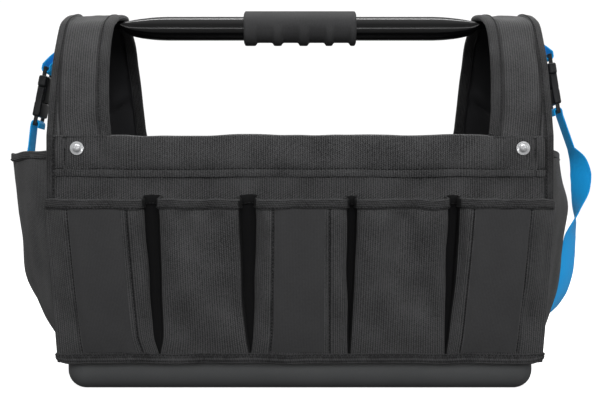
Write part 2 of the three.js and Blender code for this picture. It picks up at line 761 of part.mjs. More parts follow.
// The height of the arch's outline above a place along Y.
function archHeight(y) {
  const after = ARCH.findIndex((place) => place.y >= -Math.abs(y));
  const low = ARCH[after - 1];
  const high = ARCH[after];
  return low.z + ((high.z - low.z) * (-Math.abs(y) - low.y)) / (high.y - low.y);
}
const FLAT_TOP = archHeight(TUBE_FLAT_WIDTH / 2) - CLOTH - BINDING_PROUD - FIT;
const FLAT_MIDDLE = FLAT_TOP - TUBE_FLAT_THICKNESS / 2;

function tubeSection(x, flat, middle) {
  const steps = 20;
  const half = TUBE_DIAMETER / 2;
  const high = THREE.MathUtils.lerp(half, TUBE_FLAT_THICKNESS / 2, flat);
  const wide = THREE.MathUtils.lerp(half, TUBE_FLAT_WIDTH / 2, flat);
  const power = THREE.MathUtils.lerp(1, TUBE_FLAT_POWER, flat);
  const soften = (value) => Math.sign(value) * Math.abs(value) ** power;
  const ring = [];
  for (let k = 0; k < steps; k += 1) {
    const angle = (k / steps) * 2 * Math.PI;
    ring.push(point(x, wide * soften(Math.cos(angle)), middle + high * soften(Math.sin(angle))));
  }
  return ring;
}

function handleTube() {
  const right = CRIMP.map((row) => tubeSection(
    TUBE_ROUND_END + row.along * TUBE_CRIMP_LENGTH,
    row.flat,
    THREE.MathUtils.lerp(TUBE_MIDDLE, FLAT_MIDDLE, row.lift),
  ));
  right.push(tubeSection(TUBE_END, 1, FLAT_MIDDLE));
  const left = right.map((ring) => ring.map((p) => point(-p.x, p.y, p.z))).reverse();
  const outline = right[right.length - 1].map((p) => new THREE.Vector2(p.y, p.z));
  return cut(loft([...left, ...right], outline), [-1, 1].map(handleRivetHole));
}

// One rivet through each arch band and the flat end of the tube below it.
const HANDLE_RIVET_X = (TUBE_FLAT_START + TUBE_END) / 2;
const HANDLE_GRIP = ARCH_TOP - FLAT_TOP + TUBE_FLAT_THICKNESS;

function handleRivet(end) {
  const turned = rivet(HANDLE_GRIP, HANDLE_RIVET_DOME).rotateX(Math.PI / 2);
  return turned.translate(end * HANDLE_RIVET_X, 0, ARCH_TOP - HANDLE_GRIP);
}

function handleRivetHole(end) {
  return hole(HANDLE_GRIP * 4).rotateX(Math.PI / 2).translate(end * HANDLE_RIVET_X, 0, ARCH_TOP);
}

// Grip sleeve with finger recesses along its underside.
function gripRadius(along, angle) {
  const fromEnd = (0.5 - Math.abs(along)) * GRIP_LENGTH;
  const round = fromEnd < GRIP_END_ROUND ? GRIP_END_ROUND - fromEnd : 0;
  const endCut = GRIP_END_ROUND - Math.sqrt(Math.max(GRIP_END_ROUND ** 2 - round ** 2, 0));
  const below = Math.max(-Math.sin(angle), 0);
  const inFinger = FINGERS.some((middle) => Math.abs(along - middle) < FINGER_LENGTH / 2 - 1e-6);
  return GRIP_DIAMETER / 2 - endCut - (inFinger ? GRIP_FINGER_DEPTH * Math.sqrt(below) : 0);
}

function gripStations() {
  const ends = [GRIP_END_FACE, 0.4, 1].map((share) => (share * GRIP_END_ROUND) / GRIP_LENGTH);
  const fingers = FINGERS.flatMap((middle) => [
    middle - FINGER_LENGTH / 2,
    middle - FINGER_LENGTH / 2 + FINGER_SLOPE,
    middle + FINGER_LENGTH / 2 - FINGER_SLOPE,
    middle + FINGER_LENGTH / 2,
  ]);
  return [...ends.map((e) => -0.5 + e), ...fingers, ...ends.map((e) => 0.5 - e).reverse()];
}

function handleGrip() {
  const steps = 20;
  const bore = TUBE_DIAMETER / 2 + FIT;
  const ring = (along, radius) => Array.from({ length: steps }, (_, k) => {
    const angle = (k / steps) * 2 * Math.PI;
    const r = radius(angle);
    return point(along * GRIP_LENGTH, r * Math.cos(angle), TUBE_MIDDLE + r * Math.sin(angle));
  });
  const outer = gripStations().map((along) => ring(along, (angle) => gripRadius(along, angle)));
  const face = 0.5 - (GRIP_END_FACE * GRIP_END_ROUND) / GRIP_LENGTH;
  return loft([...outer, ring(face, () => bore), ring(-face, () => bore)], null);
}

// Webbing and buckles. A strap lies in the plane through the middle of the end, across the body's length.

// A ribbon of webbing along stations of { x, z, twist }, its width along Y where it isn't twisted.
function ribbon(end, stations) {
  const rings = stations.map((here, k) => {
    const before = stations[Math.max(k - 1, 0)];
    const after = stations[Math.min(k + 1, stations.length - 1)];
    const along = point(end * (after.x - before.x), 0, after.z - before.z).normalize();
    const out = point(0, 1, 0).cross(along).normalize();
    const side = out.x * end > 0 ? out : out.clone().negate();
    const twist = THREE.MathUtils.degToRad(here.twist || 0);
    const across = point(0, 1, 0).multiplyScalar(Math.cos(twist)).addScaledVector(side, Math.sin(twist));
    const thick = new THREE.Vector3().crossVectors(along, across).normalize();
    const middle = point(end * here.x, 0, here.z);
    return [[-1, -1], [1, -1], [1, 1], [-1, 1]].map(([w, t]) => middle.clone()
      .addScaledVector(across, (w * WEBBING_WIDTH) / 2)
      .addScaledVector(thick, (t * WEBBING) / 2));
  });
  const outline = [[-1, -1], [1, -1], [1, 1], [-1, 1]].map(([a, b]) => new THREE.Vector2(a, b));
  return loft(rings, outline);
}

function buckleFrame(end) {
  const row = BUCKLES[end < 0 ? 'left' : 'right'];
  const lean = THREE.MathUtils.degToRad(row.lean);
  return { x: BODY_LENGTH / 2 + row.off, z: ARCH_TOP * row.height, lean };
}

// A place given in the buckle's own directions: out of its face and up along it.
function onBuckle(end, out, up) {
  const { x, z, lean } = buckleFrame(end);
  return {
    x: x + out * Math.cos(lean) - up * Math.sin(lean),
    z: z + out * Math.sin(lean) + up * Math.cos(lean),
  };
}

// Half a turn of webbing round a buckle's bar, from its outer side to its inner side. way is -1 where the
// loop hangs from above and passes under the bar, and 1 where it comes from below and passes over it.
const BAR_MIDDLE = BUCKLE_LENGTH / 2 - BUCKLE_BAR / 2;
const LOOP_RADIUS = (BUCKLE_BAR / 2) * Math.SQRT2 + FIT + WEBBING / 2;

function roundBar(end, way) {
  const stations = [];
  const steps = 6;
  for (let k = 0; k <= steps; k += 1) {
    const angle = (k / steps) * Math.PI;
    const out = LOOP_RADIUS * Math.cos(angle);
    const up = -way * BAR_MIDDLE + way * LOOP_RADIUS * Math.sin(angle);
    stations.push(onBuckle(end, out, up));
  }
  return stations;
}

// The short loop sewn into the top seam of the end, round the buckle's upper bar.
function strapLoop(end) {
  const start = BODY_LENGTH / 2 + SEAM_PROUD + FIT;
  const top = ARCH_TOP - PIPING_WIDTH;
  const bar = roundBar(end, -1);
  const first = bar[0];
  const last = bar[bar.length - 1];
  const gap = WEBBING + FIT;
  const rise = first.z - top;
  const outerRun = LOOP_RUN.map((row) => ({
    x: start + gap + WEBBING / 2 + (first.x - start) * row.out,
    z: top + rise * row.outerFall,
  }));
  const innerRun = LOOP_RUN.slice(1).reverse().map((row) => ({
    x: start + WEBBING / 2 + (last.x - start) * row.out,
    z: top + rise * row.innerFall,
  }));
  innerRun.push({ x: start + WEBBING / 2, z: top - gap });
  const above = (out) => onBuckle(end, out, BAR_MIDDLE + BUCKLE_BAR);
  return ribbon(end, [...outerRun, above(LOOP_RADIUS), ...bar, above(-LOOP_RADIUS), ...innerRun]);
}

// A flat outline across the buckle, given as half of it, as a plate of a named thickness.
function bucklePlate(end, half, thickness, slots = []) {
  const shape = new THREE.Shape([
    ...half.map(([y, up]) => new THREE.Vector2(y, up)),
    ...half.map(([y, up]) => new THREE.Vector2(-y, up)).reverse(),
  ]);
  for (const [wide, low, high] of slots) {
    shape.holes.push(new THREE.Path([
      new THREE.Vector2(-wide, low),
      new THREE.Vector2(-wide, high),
      new THREE.Vector2(wide, high),
      new THREE.Vector2(wide, low),
    ]));
  }
  const plate = new THREE.ExtrudeGeometry(shape, { depth: thickness, bevelEnabled: false });
  plate.translate(0, 0, -thickness / 2);
  plate.rotateX(Math.PI / 2);
  plate.rotateZ(Math.PI / 2);
  const { x, z, lean } = buckleFrame(end);
  plate.rotateY(-end * lean);
  return plate.translate(end * x, 0, z);
}

const BUCKLE_PARTING = -BUCKLE_LENGTH * 0.09;
const ARM_WIDTH = BUCKLE_WIDTH * 0.11;
const ARM_REACH = BUCKLE_LENGTH * 0.24;
const SLOT_HALF = WEBBING_WIDTH / 2 + FIT;
const BAR_INSET = 1;
const BAR_BEVEL = 1;
const PLUG_THICKNESS = BUCKLE_THICKNESS * 0.8;

// The buckle's socket, with the loop's bar at its top.
function buckleSocket(end) {
  const half = BUCKLE_WIDTH / 2;
  const waist = half - ARM_WIDTH - FIT;
  const frame = BUCKLE_LENGTH / 2 - BUCKLE_BAR - BUCKLE_SLOT;
  const shoulder = BUCKLE_PARTING + ARM_REACH + FIT;
  const body = bucklePlate(end, [
    [waist, BUCKLE_PARTING],
    [waist, shoulder],
    [half, shoulder],
    [half, frame],
  ], BUCKLE_THICKNESS);
  const bar = bucklePlate(end, [
    [half - BAR_INSET, frame - FIT],
    [half - BAR_INSET, BUCKLE_LENGTH / 2 - BAR_BEVEL],
    [half - BAR_INSET - BAR_BEVEL, BUCKLE_LENGTH / 2],
  ], BUCKLE_BAR, [[SLOT_HALF, frame, frame + BUCKLE_SLOT]]);
  return join(body, bar);
}

// The buckle's plug: its base, the two arms beside the socket and the strap's bar at its foot.
function bucklePlug(end) {
  const half = BUCKLE_WIDTH / 2;
  const frame = -BUCKLE_LENGTH / 2 + BUCKLE_BAR + BUCKLE_SLOT;
  const top = BUCKLE_PARTING - FIT;
  const base = bucklePlate(end, [
    [half, frame],
    [half, BUCKLE_PARTING + ARM_REACH],
    [half - ARM_WIDTH, BUCKLE_PARTING + ARM_REACH],
    [half - ARM_WIDTH, top],
  ], PLUG_THICKNESS);
  const bar = bucklePlate(end, [
    [half - BAR_INSET - BAR_BEVEL, -BUCKLE_LENGTH / 2],
    [half - BAR_INSET, -BUCKLE_LENGTH / 2 + BAR_BEVEL],
    [half - BAR_INSET, frame + FIT],
  ], BUCKLE_BAR, [[SLOT_HALF, frame - BUCKLE_SLOT, frame]]);
  return join(base, bar);
}

// The strap from the buckle's lower bar. On the left it runs down inside the gaping pocket and is sewn to
// the end panel; on the right it hangs outside the pocket, turns about its length and is sewn over the
// base hem.
function strap(end) {
  const reach = end < 0 ? STRAP_REACH_LEFT : STRAP_REACH_RIGHT;
  const rows = end < 0 ? STRAP_LEFT : STRAP_RIGHT;
  const run = rows.map((row) => ({
    x: halfLength(ARCH_TOP * row.height) + row.out * reach,
    z: ARCH_TOP * row.height,
    twist: row.twist,
  }));
  const foot = end < 0 ? strapLeftFoot() : strapRightFoot();
  const bar = roundBar(end, 1).reverse();
  const below = (out) => onBuckle(end, out, -BAR_MIDDLE - BUCKLE_BAR);
  const path = [...run, ...foot].map((s) => point(s.x, 0, s.z));
  const smooth = new THREE.CatmullRomCurve3(path, false, 'centripetal');
  const places = smooth.getPoints((path.length - 1) * 2);
  const twists = [...run, ...foot].map((s) => s.twist || 0);
  const stations = places.map((p, k) => {
    const low = Math.floor(k / 2);
    const high = Math.min(low + 1, twists.length - 1);
    return { x: p.x, z: p.z, twist: k % 2 ? (twists[low] + twists[high]) / 2 : twists[low] };
  });
  return ribbon(end, [below(-LOOP_RADIUS), ...bar, below(LOOP_RADIUS), ...stations]);
}

function strapLeftFoot() {
  const z = ARCH_TOP * STRAP_LEFT_SEWN;
  const onPanel = (height) => ({ x: halfLength(height) + 3 * FIT + WEBBING / 2, z: height });
  return [onPanel(z), onPanel(z - WEBBING_WIDTH)];
}

function strapRightFoot() {
  const onHem = (height) => ({
    x: halfLength(HEM_TOP) + POCKET_CLOTH + TAPE + 4 * FIT + WEBBING / 2,
    z: height,
  });
  return [onHem(HEM_TOP + WEBBING), onHem(WALL_BOTTOM + FIT)];
}

// Materials and the scene graph
const group = new THREE.Group();

function finish(color, roughness, metalness = 0) {
  return { color, roughness, metalness };
}
const NYLON = finish(0x262627, 0.85);
const SMOOTH_NYLON = finish(0x202122, 0.75);
const LINING_CLOTH = finish(0x1c1c1d, 0.8);
const BINDING_TAPE = finish(0x2e2e2f, 0.8);
const TRAY_PLASTIC = finish(0x3c3d3f, 0.5);
const BLACK_STEEL = finish(0x0c0c0d, 0.22, 0.1);
const CHROME = finish(0xd8dadd, 0.15, 1);
const RUBBER = finish(0x2b2b2c, 0.7);
const BUCKLE_PLASTIC = finish(0x18191a, 0.45);
const BLUE_WEBBING = finish(0x1583d2, 0.7);

function add(name, geometry, look) {
  geometry.computeVertexNormals();
  const mesh = new THREE.Mesh(geometry, new THREE.MeshStandardMaterial({ ...look, flatShading: true }));
  mesh.name = name;
  group.add(mesh);
}

const ENDS = [[-1, 'left'], [1, 'right']];
const FACES = [[-1, 'front'], [1, 'back']];

add('base_tray', baseTray(), TRAY_PLASTIC);
add('base_hem', baseHem(), BINDING_TAPE);
for (const [face, side] of FACES) {
  add(`${side}_wall`, wall(face), NYLON);
  add(`rim_band_${side}`, rimBand(face), NYLON);
  for (const [end, hand] of ENDS) {
    add(`rim_rivet_${side}_${hand}`, rimRivet(end, face), CHROME);
  }
}
for (const [end, hand] of ENDS) {
  add(`end_panel_${hand}`, endSheet(end, 0, CLOTH, WALL_BOTTOM), NYLON);
  add(`end_lining_${hand}`, endSheet(end, CLOTH + FIT, LINING, TRAY_TOP + FIT), LINING_CLOTH);
  add(`arch_band_${hand}`, archBand(end), NYLON);
  add(`arch_binding_${hand}`, archBinding(end), BINDING_TAPE);
  add(`corner_piping_${hand}`, cornerPiping(end), BINDING_TAPE);
  add(`side_pocket_${hand}`, sidePocket(end), NYLON);
  add(`side_pocket_binding_${hand}`, sidePocketBinding(end), BINDING_TAPE);
  add(`handle_rivet_${hand}`, handleRivet(end), CHROME);
  add(`strap_loop_${hand}`, strapLoop(end), BLUE_WEBBING);
  add(`buckle_socket_${hand}`, buckleSocket(end), BUCKLE_PLASTIC);
  add(`buckle_plug_${hand}`, bucklePlug(end), BUCKLE_PLASTIC);
  add(`strap_${hand}`, strap(end), BLUE_WEBBING);
}
FRONT_POCKETS.forEach((row, pocket) => {
  add(`front_pocket_${pocket + 1}`, frontPocket(pocket), NYLON);
  add(`front_pocket_binding_${pocket + 1}`, frontPocketBinding(pocket), BINDING_TAPE);
  if (row.patch) add(`pocket_patch_${pocket + 1}`, pocketPatch(pocket), SMOOTH_NYLON);
});
add('handle_tube', handleTube(), BLACK_STEEL);
add('handle_grip', handleGrip(), RUBBER);

export default group;
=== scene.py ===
import json
import math

import bpy
import numpy as np
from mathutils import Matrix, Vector, noise

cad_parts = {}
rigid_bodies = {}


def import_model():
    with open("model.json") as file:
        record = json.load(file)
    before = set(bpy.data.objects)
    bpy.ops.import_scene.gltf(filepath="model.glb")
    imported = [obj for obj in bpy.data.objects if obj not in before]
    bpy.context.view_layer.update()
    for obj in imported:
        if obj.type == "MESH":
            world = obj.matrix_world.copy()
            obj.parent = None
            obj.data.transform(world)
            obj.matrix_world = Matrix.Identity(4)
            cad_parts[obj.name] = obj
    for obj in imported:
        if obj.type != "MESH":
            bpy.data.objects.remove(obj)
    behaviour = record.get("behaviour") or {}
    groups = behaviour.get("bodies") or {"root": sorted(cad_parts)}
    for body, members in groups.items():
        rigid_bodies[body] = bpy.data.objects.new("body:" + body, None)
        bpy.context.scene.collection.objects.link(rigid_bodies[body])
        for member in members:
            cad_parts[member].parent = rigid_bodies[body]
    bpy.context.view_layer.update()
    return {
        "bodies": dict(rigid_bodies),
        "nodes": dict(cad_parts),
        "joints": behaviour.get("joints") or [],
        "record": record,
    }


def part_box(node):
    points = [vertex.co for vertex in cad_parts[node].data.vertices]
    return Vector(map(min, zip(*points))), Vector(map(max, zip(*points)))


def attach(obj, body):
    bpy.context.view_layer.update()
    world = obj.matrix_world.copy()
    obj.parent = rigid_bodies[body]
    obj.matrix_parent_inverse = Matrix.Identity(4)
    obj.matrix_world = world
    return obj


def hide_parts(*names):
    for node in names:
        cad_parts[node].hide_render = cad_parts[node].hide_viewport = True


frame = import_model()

# Open top tool tote: sewn black nylon on a moulded tray, with a steel carrying tube and blue webbing straps.
# All lengths are in millimetres up to the moment a mesh is made. Left and right are as seen from the front,
# which faces -Y.
MM = 0.001
ENDS = {-1: "left", 1: "right"}
FACES = {-1: "front", 1: "back"}


# Sizes read from the frame

def low(node, axis):
    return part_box(node)[0][axis] / MM


def high(node, axis):
    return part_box(node)[1][axis] / MM


BODY_HALF = high("front_wall", 0)
BODY_DEEP = -low("front_wall", 1)
WALL_FOOT = low("front_wall", 2)
TRAY_HALF = high("base_tray", 0)
TRAY_DEEP = high("base_tray", 1)
TRAY_LIP = high("base_tray", 2)
HEM_TOP = high("base_hem", 2)
RIM = high("rim_band_front", 2)
RIM_BAND_FOOT = low("rim_band_front", 2)
ARCH_TOP = high("arch_band_right", 2)
ARCH_INNER = low("arch_band_right", 0)
MOUTH_FOOT = low("front_pocket_binding_3", 2)
SIDE_TOP = high("side_pocket_binding_left", 2)
TUBE_MIDDLE = (high("handle_grip", 2) + low("handle_grip", 2)) / 2
TUBE_RADIUS = TUBE_MIDDLE - low("handle_tube", 2)
TUBE_END = high("handle_tube", 0)
GRIP_HALF = high("handle_grip", 0)
GRIP_RADIUS = high("handle_grip", 1)
RIVET_RADIUS = (high("rim_rivet_front_left", 0) - low("rim_rivet_front_left", 0)) / 2

# Sizes of the cloth and its trim
FIT = 0.3
CLOTH = 2.5
TAPE = 1.5
MOUTH_TAPE = 10
SIDE_TAPE = 8.5
POCKET_TOP = MOUTH_FOOT + MOUTH_TAPE
POCKET_DEPTH = 23
POCKET_SEWN = 4.7
TRAY_FILLET = 18
TRAY_CORNER = 18
TRAY_WALL = 3
PIPING = 7
STITCH = 3.4
THREAD = 0.7
WEBBING_WIDTH = 25
WEBBING = 1.6

BOTTOM_HALF = TRAY_HALF + FIT + CLOTH
BOTTOM_DEEP = TRAY_DEEP + FIT + CLOTH


# Camera. The photograph was taken level with the middle of the tote, with the lens square to its front.
CAMERA_BACK = 1045
CAMERA_HEIGHT = 181
FOCAL_PIXELS = 971.25
PHOTO_WIDTH = 600
SENSOR = 36


def make_camera():
    data = bpy.data.cameras.new("camera")
    data.sensor_width = SENSOR
    data.lens = FOCAL_PIXELS * SENSOR / PHOTO_WIDTH
    camera = bpy.data.objects.new("camera", data)
    camera.location = (0, -CAMERA_BACK * MM, CAMERA_HEIGHT * MM)
    camera.rotation_euler = (math.radians(90), 0, 0)
    bpy.context.scene.collection.objects.link(camera)
    bpy.context.scene.camera = camera


make_camera()


# Studio: a pale floor, softboxes and a white surround that is dimmer towards the camera, so that the tube and
# the rivets mirror a dark room in front of them.

def add_node(tree, kind, inputs=None, **settings):
    """Adds a node with its settings. An input takes a value, a socket, or a node for its first output."""
    made = tree.nodes.new(kind)
    for name, value in settings.items():
        setattr(made, name, value)
    for name, value in (inputs or {}).items():
        if isinstance(value, bpy.types.Node):
            value = value.outputs[0]
        if isinstance(value, bpy.types.NodeSocket):
            tree.links.new(value, made.inputs[name])
        else:
            made.inputs[name].default_value = value
    return made


def linear(hex_value, alpha=1.0):
    """An sRGB hex colour as the linear colour that shaders take."""
    parts = [(hex_value >> shift & 255) / 255 for shift in (16, 8, 0)]
    return (*(c / 12.92 if c <= 0.04045 else ((c + 0.055) / 1.055) ** 2.4 for c in parts), alpha)


def make_surround():
    world = bpy.data.worlds.new("studio")
    bpy.context.scene.world = world
    world.use_nodes = True
    tree = world.node_tree
    tree.nodes.clear()
    coords = add_node(tree, "ShaderNodeTexCoord").outputs["Generated"]
    axes = add_node(tree, "ShaderNodeSeparateXYZ", {"Vector": coords}).outputs
    back = add_node(tree, "ShaderNodeMapRange", {
        "Value": axes["Y"], "From Min": -0.75, "From Max": 0.1, "To Min": 0.2, "To Max": 0.3})
    side = add_node(tree, "ShaderNodeMath", {0: axes["X"]}, operation="ABSOLUTE")
    sides = add_node(tree, "ShaderNodeMapRange", {
        "Value": side, "From Min": 0.45, "From Max": 0.95, "To Min": 0.0, "To Max": 0.05})
    room = add_node(tree, "ShaderNodeMath", {0: back, 1: sides}, operation="ADD")
    top = add_node(tree, "ShaderNodeMapRange", {
        "Value": axes["Z"], "From Min": 0.5, "From Max": 0.9, "To Min": 0.0, "To Max": 0.25})
    light = add_node(tree, "ShaderNodeMath", {0: room, 1: top}, operation="ADD")
    seen = add_node(tree, "ShaderNodeLightPath").outputs["Is Camera Ray"]
    strength = add_node(tree, "ShaderNodeMix", {"Factor": seen, 2: light, 3: 1.05})
    shader = add_node(tree, "ShaderNodeBackground", {"Color": (1, 1, 1, 1), "Strength": strength})
    add_node(tree, "ShaderNodeOutputWorld", {"Surface": shader})


def softbox(name, place, aim, width, height, power, mirrored=True):
    data = bpy.data.lights.new(name, "AREA")
    data.shape = "RECTANGLE"
    data.size = width * MM
    data.size_y = height * MM
    data.energy = power
    lamp = bpy.data.objects.new(name, data)
    lamp.location = Vector(place) * MM
    lamp.rotation_euler = (Vector(aim) - Vector(place)).to_track_quat("-Z", "Y").to_euler()
    bpy.context.scene.collection.objects.link(lamp)
    lamp.visible_camera = False
    lamp.visible_glossy = mirrored


def make_studio():
    make_surround()
    middle = (0, 0, 200)
    softbox("left_light", (-1500, -1150, 800), middle, 700, 1000, 1.3)
    softbox("right_light", (1500, -1150, 800), middle, 700, 1000, 3)
    softbox("front_fill", (100, -1900, 850), middle, 900, 600, 20, mirrored=False)
    softbox("low_fill", (0, -1900, 170), middle, 900, 110, 1.2)
    softbox("top_strip", (0, 150, 1700), middle, 2000, 160, 10)
    for side in (-1, 1):
        softbox("rivet_card", (side * 630, -1900, 330), (side * 211, -125, 232), 420, 420, 0.8)
    softbox("back_light", (0, 1500, 1000), middle, 2200, 500, 8)
    bpy.ops.object.select_all(action="DESELECT")
    bpy.ops.mesh.primitive_plane_add(size=24)
    floor = bpy.context.active_object
    floor.name = "floor"
    paint = bpy.data.materials.new("pale_floor")
    paint.use_nodes = True
    tree = paint.node_tree
    shader = tree.nodes["Principled BSDF"]
    shader.inputs["Roughness"].default_value = 0.7
    shader.inputs["Emission Color"].default_value = (1, 1, 1, 1)
    seen = add_node(tree, "ShaderNodeLightPath").outputs["Is Camera Ray"]
    colour = add_node(tree, "ShaderNodeMix", {
        "Factor": seen, 6: linear(0x525252), 7: linear(0xF7F7F7)}, data_type="RGBA")
    glow = add_node(tree, "ShaderNodeMix", {"Factor": seen, 2: 0.03, 3: 0.85})
    tree.links.new(colour.outputs[2], shader.inputs["Base Color"])
    tree.links.new(glow.outputs[0], shader.inputs["Emission Strength"])
    floor.data.materials.append(paint)
    bpy.context.scene.view_settings.view_transform = "Standard"


make_studio()


# Materials

def new_material(name, base, roughness, metallic=0.0, ior=1.5):
    """A material with its shader's plain settings. Returns it, its node tree and its shader."""
    made = bpy.data.materials.new(name)
    made.use_nodes = True
    shader = made.node_tree.nodes["Principled BSDF"]
    shader.inputs["Base Color"].default_value = linear(base)
    shader.inputs["Roughness"].default_value = roughness
    shader.inputs["Metallic"].default_value = metallic
    if not metallic:
        shader.inputs["IOR"].default_value = ior
    return made, made.node_tree, shader


def surface_nodes(tree, shader, share, dark, light, height, depth, distance):
    """Mixes two tones by a share and raises a height as a bump."""
    colour = add_node(tree, "ShaderNodeMix", {
        "Factor": share, 6: linear(dark), 7: linear(light)}, data_type="RGBA")
    bump = add_node(tree, "ShaderNodeBump", {"Height": height, "Strength": depth, "Distance": distance * MM})
    tree.links.new(colour.outputs[2], shader.inputs["Base Color"])
    tree.links.new(bump.outputs[0], shader.inputs["Normal"])


def woven(name, dark, light, rib, pick, depth, roughness, sheen=0.0, blotch=0.25, glow=0.0):
    """Woven cloth: warp ribs, a rib apart, along the piece's own V direction, and weft picks across them."""
    made, tree, shader = new_material(name, light, roughness, ior=1.52)
    uv = add_node(tree, "ShaderNodeUVMap", uv_map="UVMap")
    axes = add_node(tree, "ShaderNodeSeparateXYZ", {"Vector": uv}).outputs
    across = add_node(tree, "ShaderNodeMath", {0: axes["X"], 1: 2 * math.pi / rib}, operation="MULTIPLY")
    along = add_node(tree, "ShaderNodeMath", {0: axes["Y"], 1: 2 * math.pi / pick}, operation="MULTIPLY")
    slant = add_node(tree, "ShaderNodeMath", {0: across, 1: 0.5, 2: along}, operation="MULTIPLY_ADD")
    warp = add_node(tree, "ShaderNodeMath", {0: across}, operation="SINE")
    weft = add_node(tree, "ShaderNodeMath", {0: slant}, operation="SINE")
    threads = add_node(tree, "ShaderNodeMath", {0: warp, 1: weft, 2: warp}, operation="MULTIPLY_ADD")
    height = add_node(tree, "ShaderNodeMapRange", {"Value": threads, "From Min": -1.6, "From Max": 1.6})
    mottle = add_node(tree, "ShaderNodeTexNoise", {"Vector": uv, "Scale": 0.03, "Detail": 3.0})
    flecks = add_node(tree, "ShaderNodeTexNoise", {"Vector": uv, "Scale": 0.45, "Detail": 2.0})
    worn = add_node(tree, "ShaderNodeMath", {0: mottle, 1: flecks}, operation="ADD")
    # The colour follows the threads' height as well as the random mottle: painted shade in the hollows
    # between threads and painted highlight on their crowns.
    tone = add_node(tree, "ShaderNodeMath", {0: worn, 1: blotch, 2: height}, operation="MULTIPLY_ADD")
    share = add_node(tree, "ShaderNodeMath", {0: tone, 1: blotch}, operation="SUBTRACT", use_clamp=True)
    surface_nodes(tree, shader, share, dark, light, height, depth, 0.5)
    shader.inputs["Sheen Weight"].default_value = sheen
    shader.inputs["Sheen Roughness"].default_value = 0.5
    # A piece given a glow gives off light although it is no lamp: a painted glow. Only the webbing has one.
    shader.inputs["Emission Color"].default_value = linear(light)
    shader.inputs["Emission Strength"].default_value = glow
    return made


def moulded(name, dark, light, roughness, grain, depth, ior=1.5):
    """Moulded or coated stock: a fine grain of one size, and slow changes of tone, on object coordinates."""
    made, tree, shader = new_material(name, light, roughness, ior=ior)
    place = add_node(tree, "ShaderNodeTexCoord").outputs["Object"]
    fine = add_node(tree, "ShaderNodeTexNoise", {"Vector": place, "Scale": 1 / (grain * MM), "Detail": 2.0})
    slow = add_node(tree, "ShaderNodeTexNoise", {"Vector": place, "Scale": 18.0, "Detail": 3.0})
    tone = add_node(tree, "ShaderNodeMath", {0: fine, 1: slow}, operation="ADD")
    share = add_node(tree, "ShaderNodeMapRange", {"Value": tone, "From Min": 0.6, "From Max": 1.4})
    surface_nodes(tree, shader, share, dark, light, fine, depth, 0.2)
    return made


def plated(name):
    """Nickel-plated brass: bright and cool, with hair-fine wear marks that only stir the reflections."""
    made, tree, shader = new_material(name, 0xEDEEF0, 0.2, metallic=0.6)
    place = add_node(tree, "ShaderNodeTexCoord").outputs["Object"]
    wear = add_node(tree, "ShaderNodeTexNoise", {"Vector": place, "Scale": 900.0, "Detail": 2.0})
    bump = add_node(tree, "ShaderNodeBump", {"Height": wear, "Strength": 0.05, "Distance": 0.05 * MM})
    tree.links.new(bump.outputs[0], shader.inputs["Normal"])
    return made


# Ballistic nylon, 1680 denier: thick dull warp ribs, each painted lighter on its crown and darker in the
# hollow beside it, as light would fall on them. The real ribs are under 1 mm apart; they are drawn at 2.2 mm,
# which is what the photograph's pixels turn them into.
BALLISTIC_NYLON = woven(
    "ballistic_nylon_woven", 0x141415, 0x535354, 2.2, 1.8, 0.8, 0.7, sheen=0.08, blotch=0.9)
# Oxford nylon, calendered: a close plain weave, flat and even beside the ribbed cloth.
OXFORD_NYLON = woven(
    "oxford_nylon_calendered", 0x323233, 0x3D3D3E, 1.4, 1.4, 0.15, 0.78, sheen=0.06, blotch=1.2)
# Coated taffeta lining: nearly black and slick, with soft broad highlights at the creases.
TAFFETA_LINING = woven("taffeta_lining_coated", 0x2B2B2D, 0x353537, 1.0, 1.0, 0.08, 0.4, blotch=0.8)
# Taffeta, uncoated, dull and nearly black: painted pleat shade, put on the pleats' insides and on the mouth
# tape over them so that the gaps between pockets show black.
PAINTED_PLEAT_SHADE = woven("taffeta_gusset_dull", 0x0B0B0C, 0x131314, 1.0, 1.0, 0.08, 0.9, blotch=0.4)
# Polypropylene binding tape: short ribs across the tape, a little darker than the cloth that it wraps.
GROSGRAIN_TAPE = woven(
    "polypropylene_tape_ribbed", 0x0D0D0E, 0x444445, 1.7, 2.2, 1.0, 0.7, sheen=0.05, blotch=1.3)
# Spun polyester thread, bonded: dark, with a faint sheen on each stitch.
SEWING_THREAD = moulded("polyester_thread_bonded", 0x0E0E0F, 0x1C1C1D, 0.5, 0.5, 0.2)
# Polypropylene copolymer, moulded with a spark-eroded grain: satin, lighter than the cloth.
TRAY_PLASTIC = moulded("polypropylene_moulded", 0x474849, 0x525354, 0.44, 0.7, 0.25)
# Powder-coated steel, gloss black: deep, with clean mirrored bands.
BLACK_STEEL = moulded("powder_coated_steel_gloss", 0x060607, 0x0B0B0C, 0.14, 1.6, 0.03, ior=1.7)
# Thermoplastic rubber, moulded: matt charcoal with a pebbled skin.
GRIP_RUBBER = moulded("thermoplastic_rubber_moulded", 0x303031, 0x4A4A4B, 0.66, 0.9, 0.8)
# Acetal, moulded: smooth satin black that lights up along its rounded edges.
BUCKLE_ACETAL = moulded("acetal_moulded", 0x17181A, 0x222326, 0.36, 0.5, 0.08)
RIVET_NICKEL = plated("nickel_plated_brass")
# Polyester webbing, dyed: saturated blue, ribbed along its length. Its weak glow is painted light, an
# emission that stands in for the light shining through its thin weave from behind.
BLUE_WEBBING = woven(
    "polyester_webbing_dyed", 0x0487DA, 0x1CACF0, 1.6, 2.4, 0.5, 0.6, sheen=0.1, blotch=0.3, glow=0.17)


# Curves and surfaces

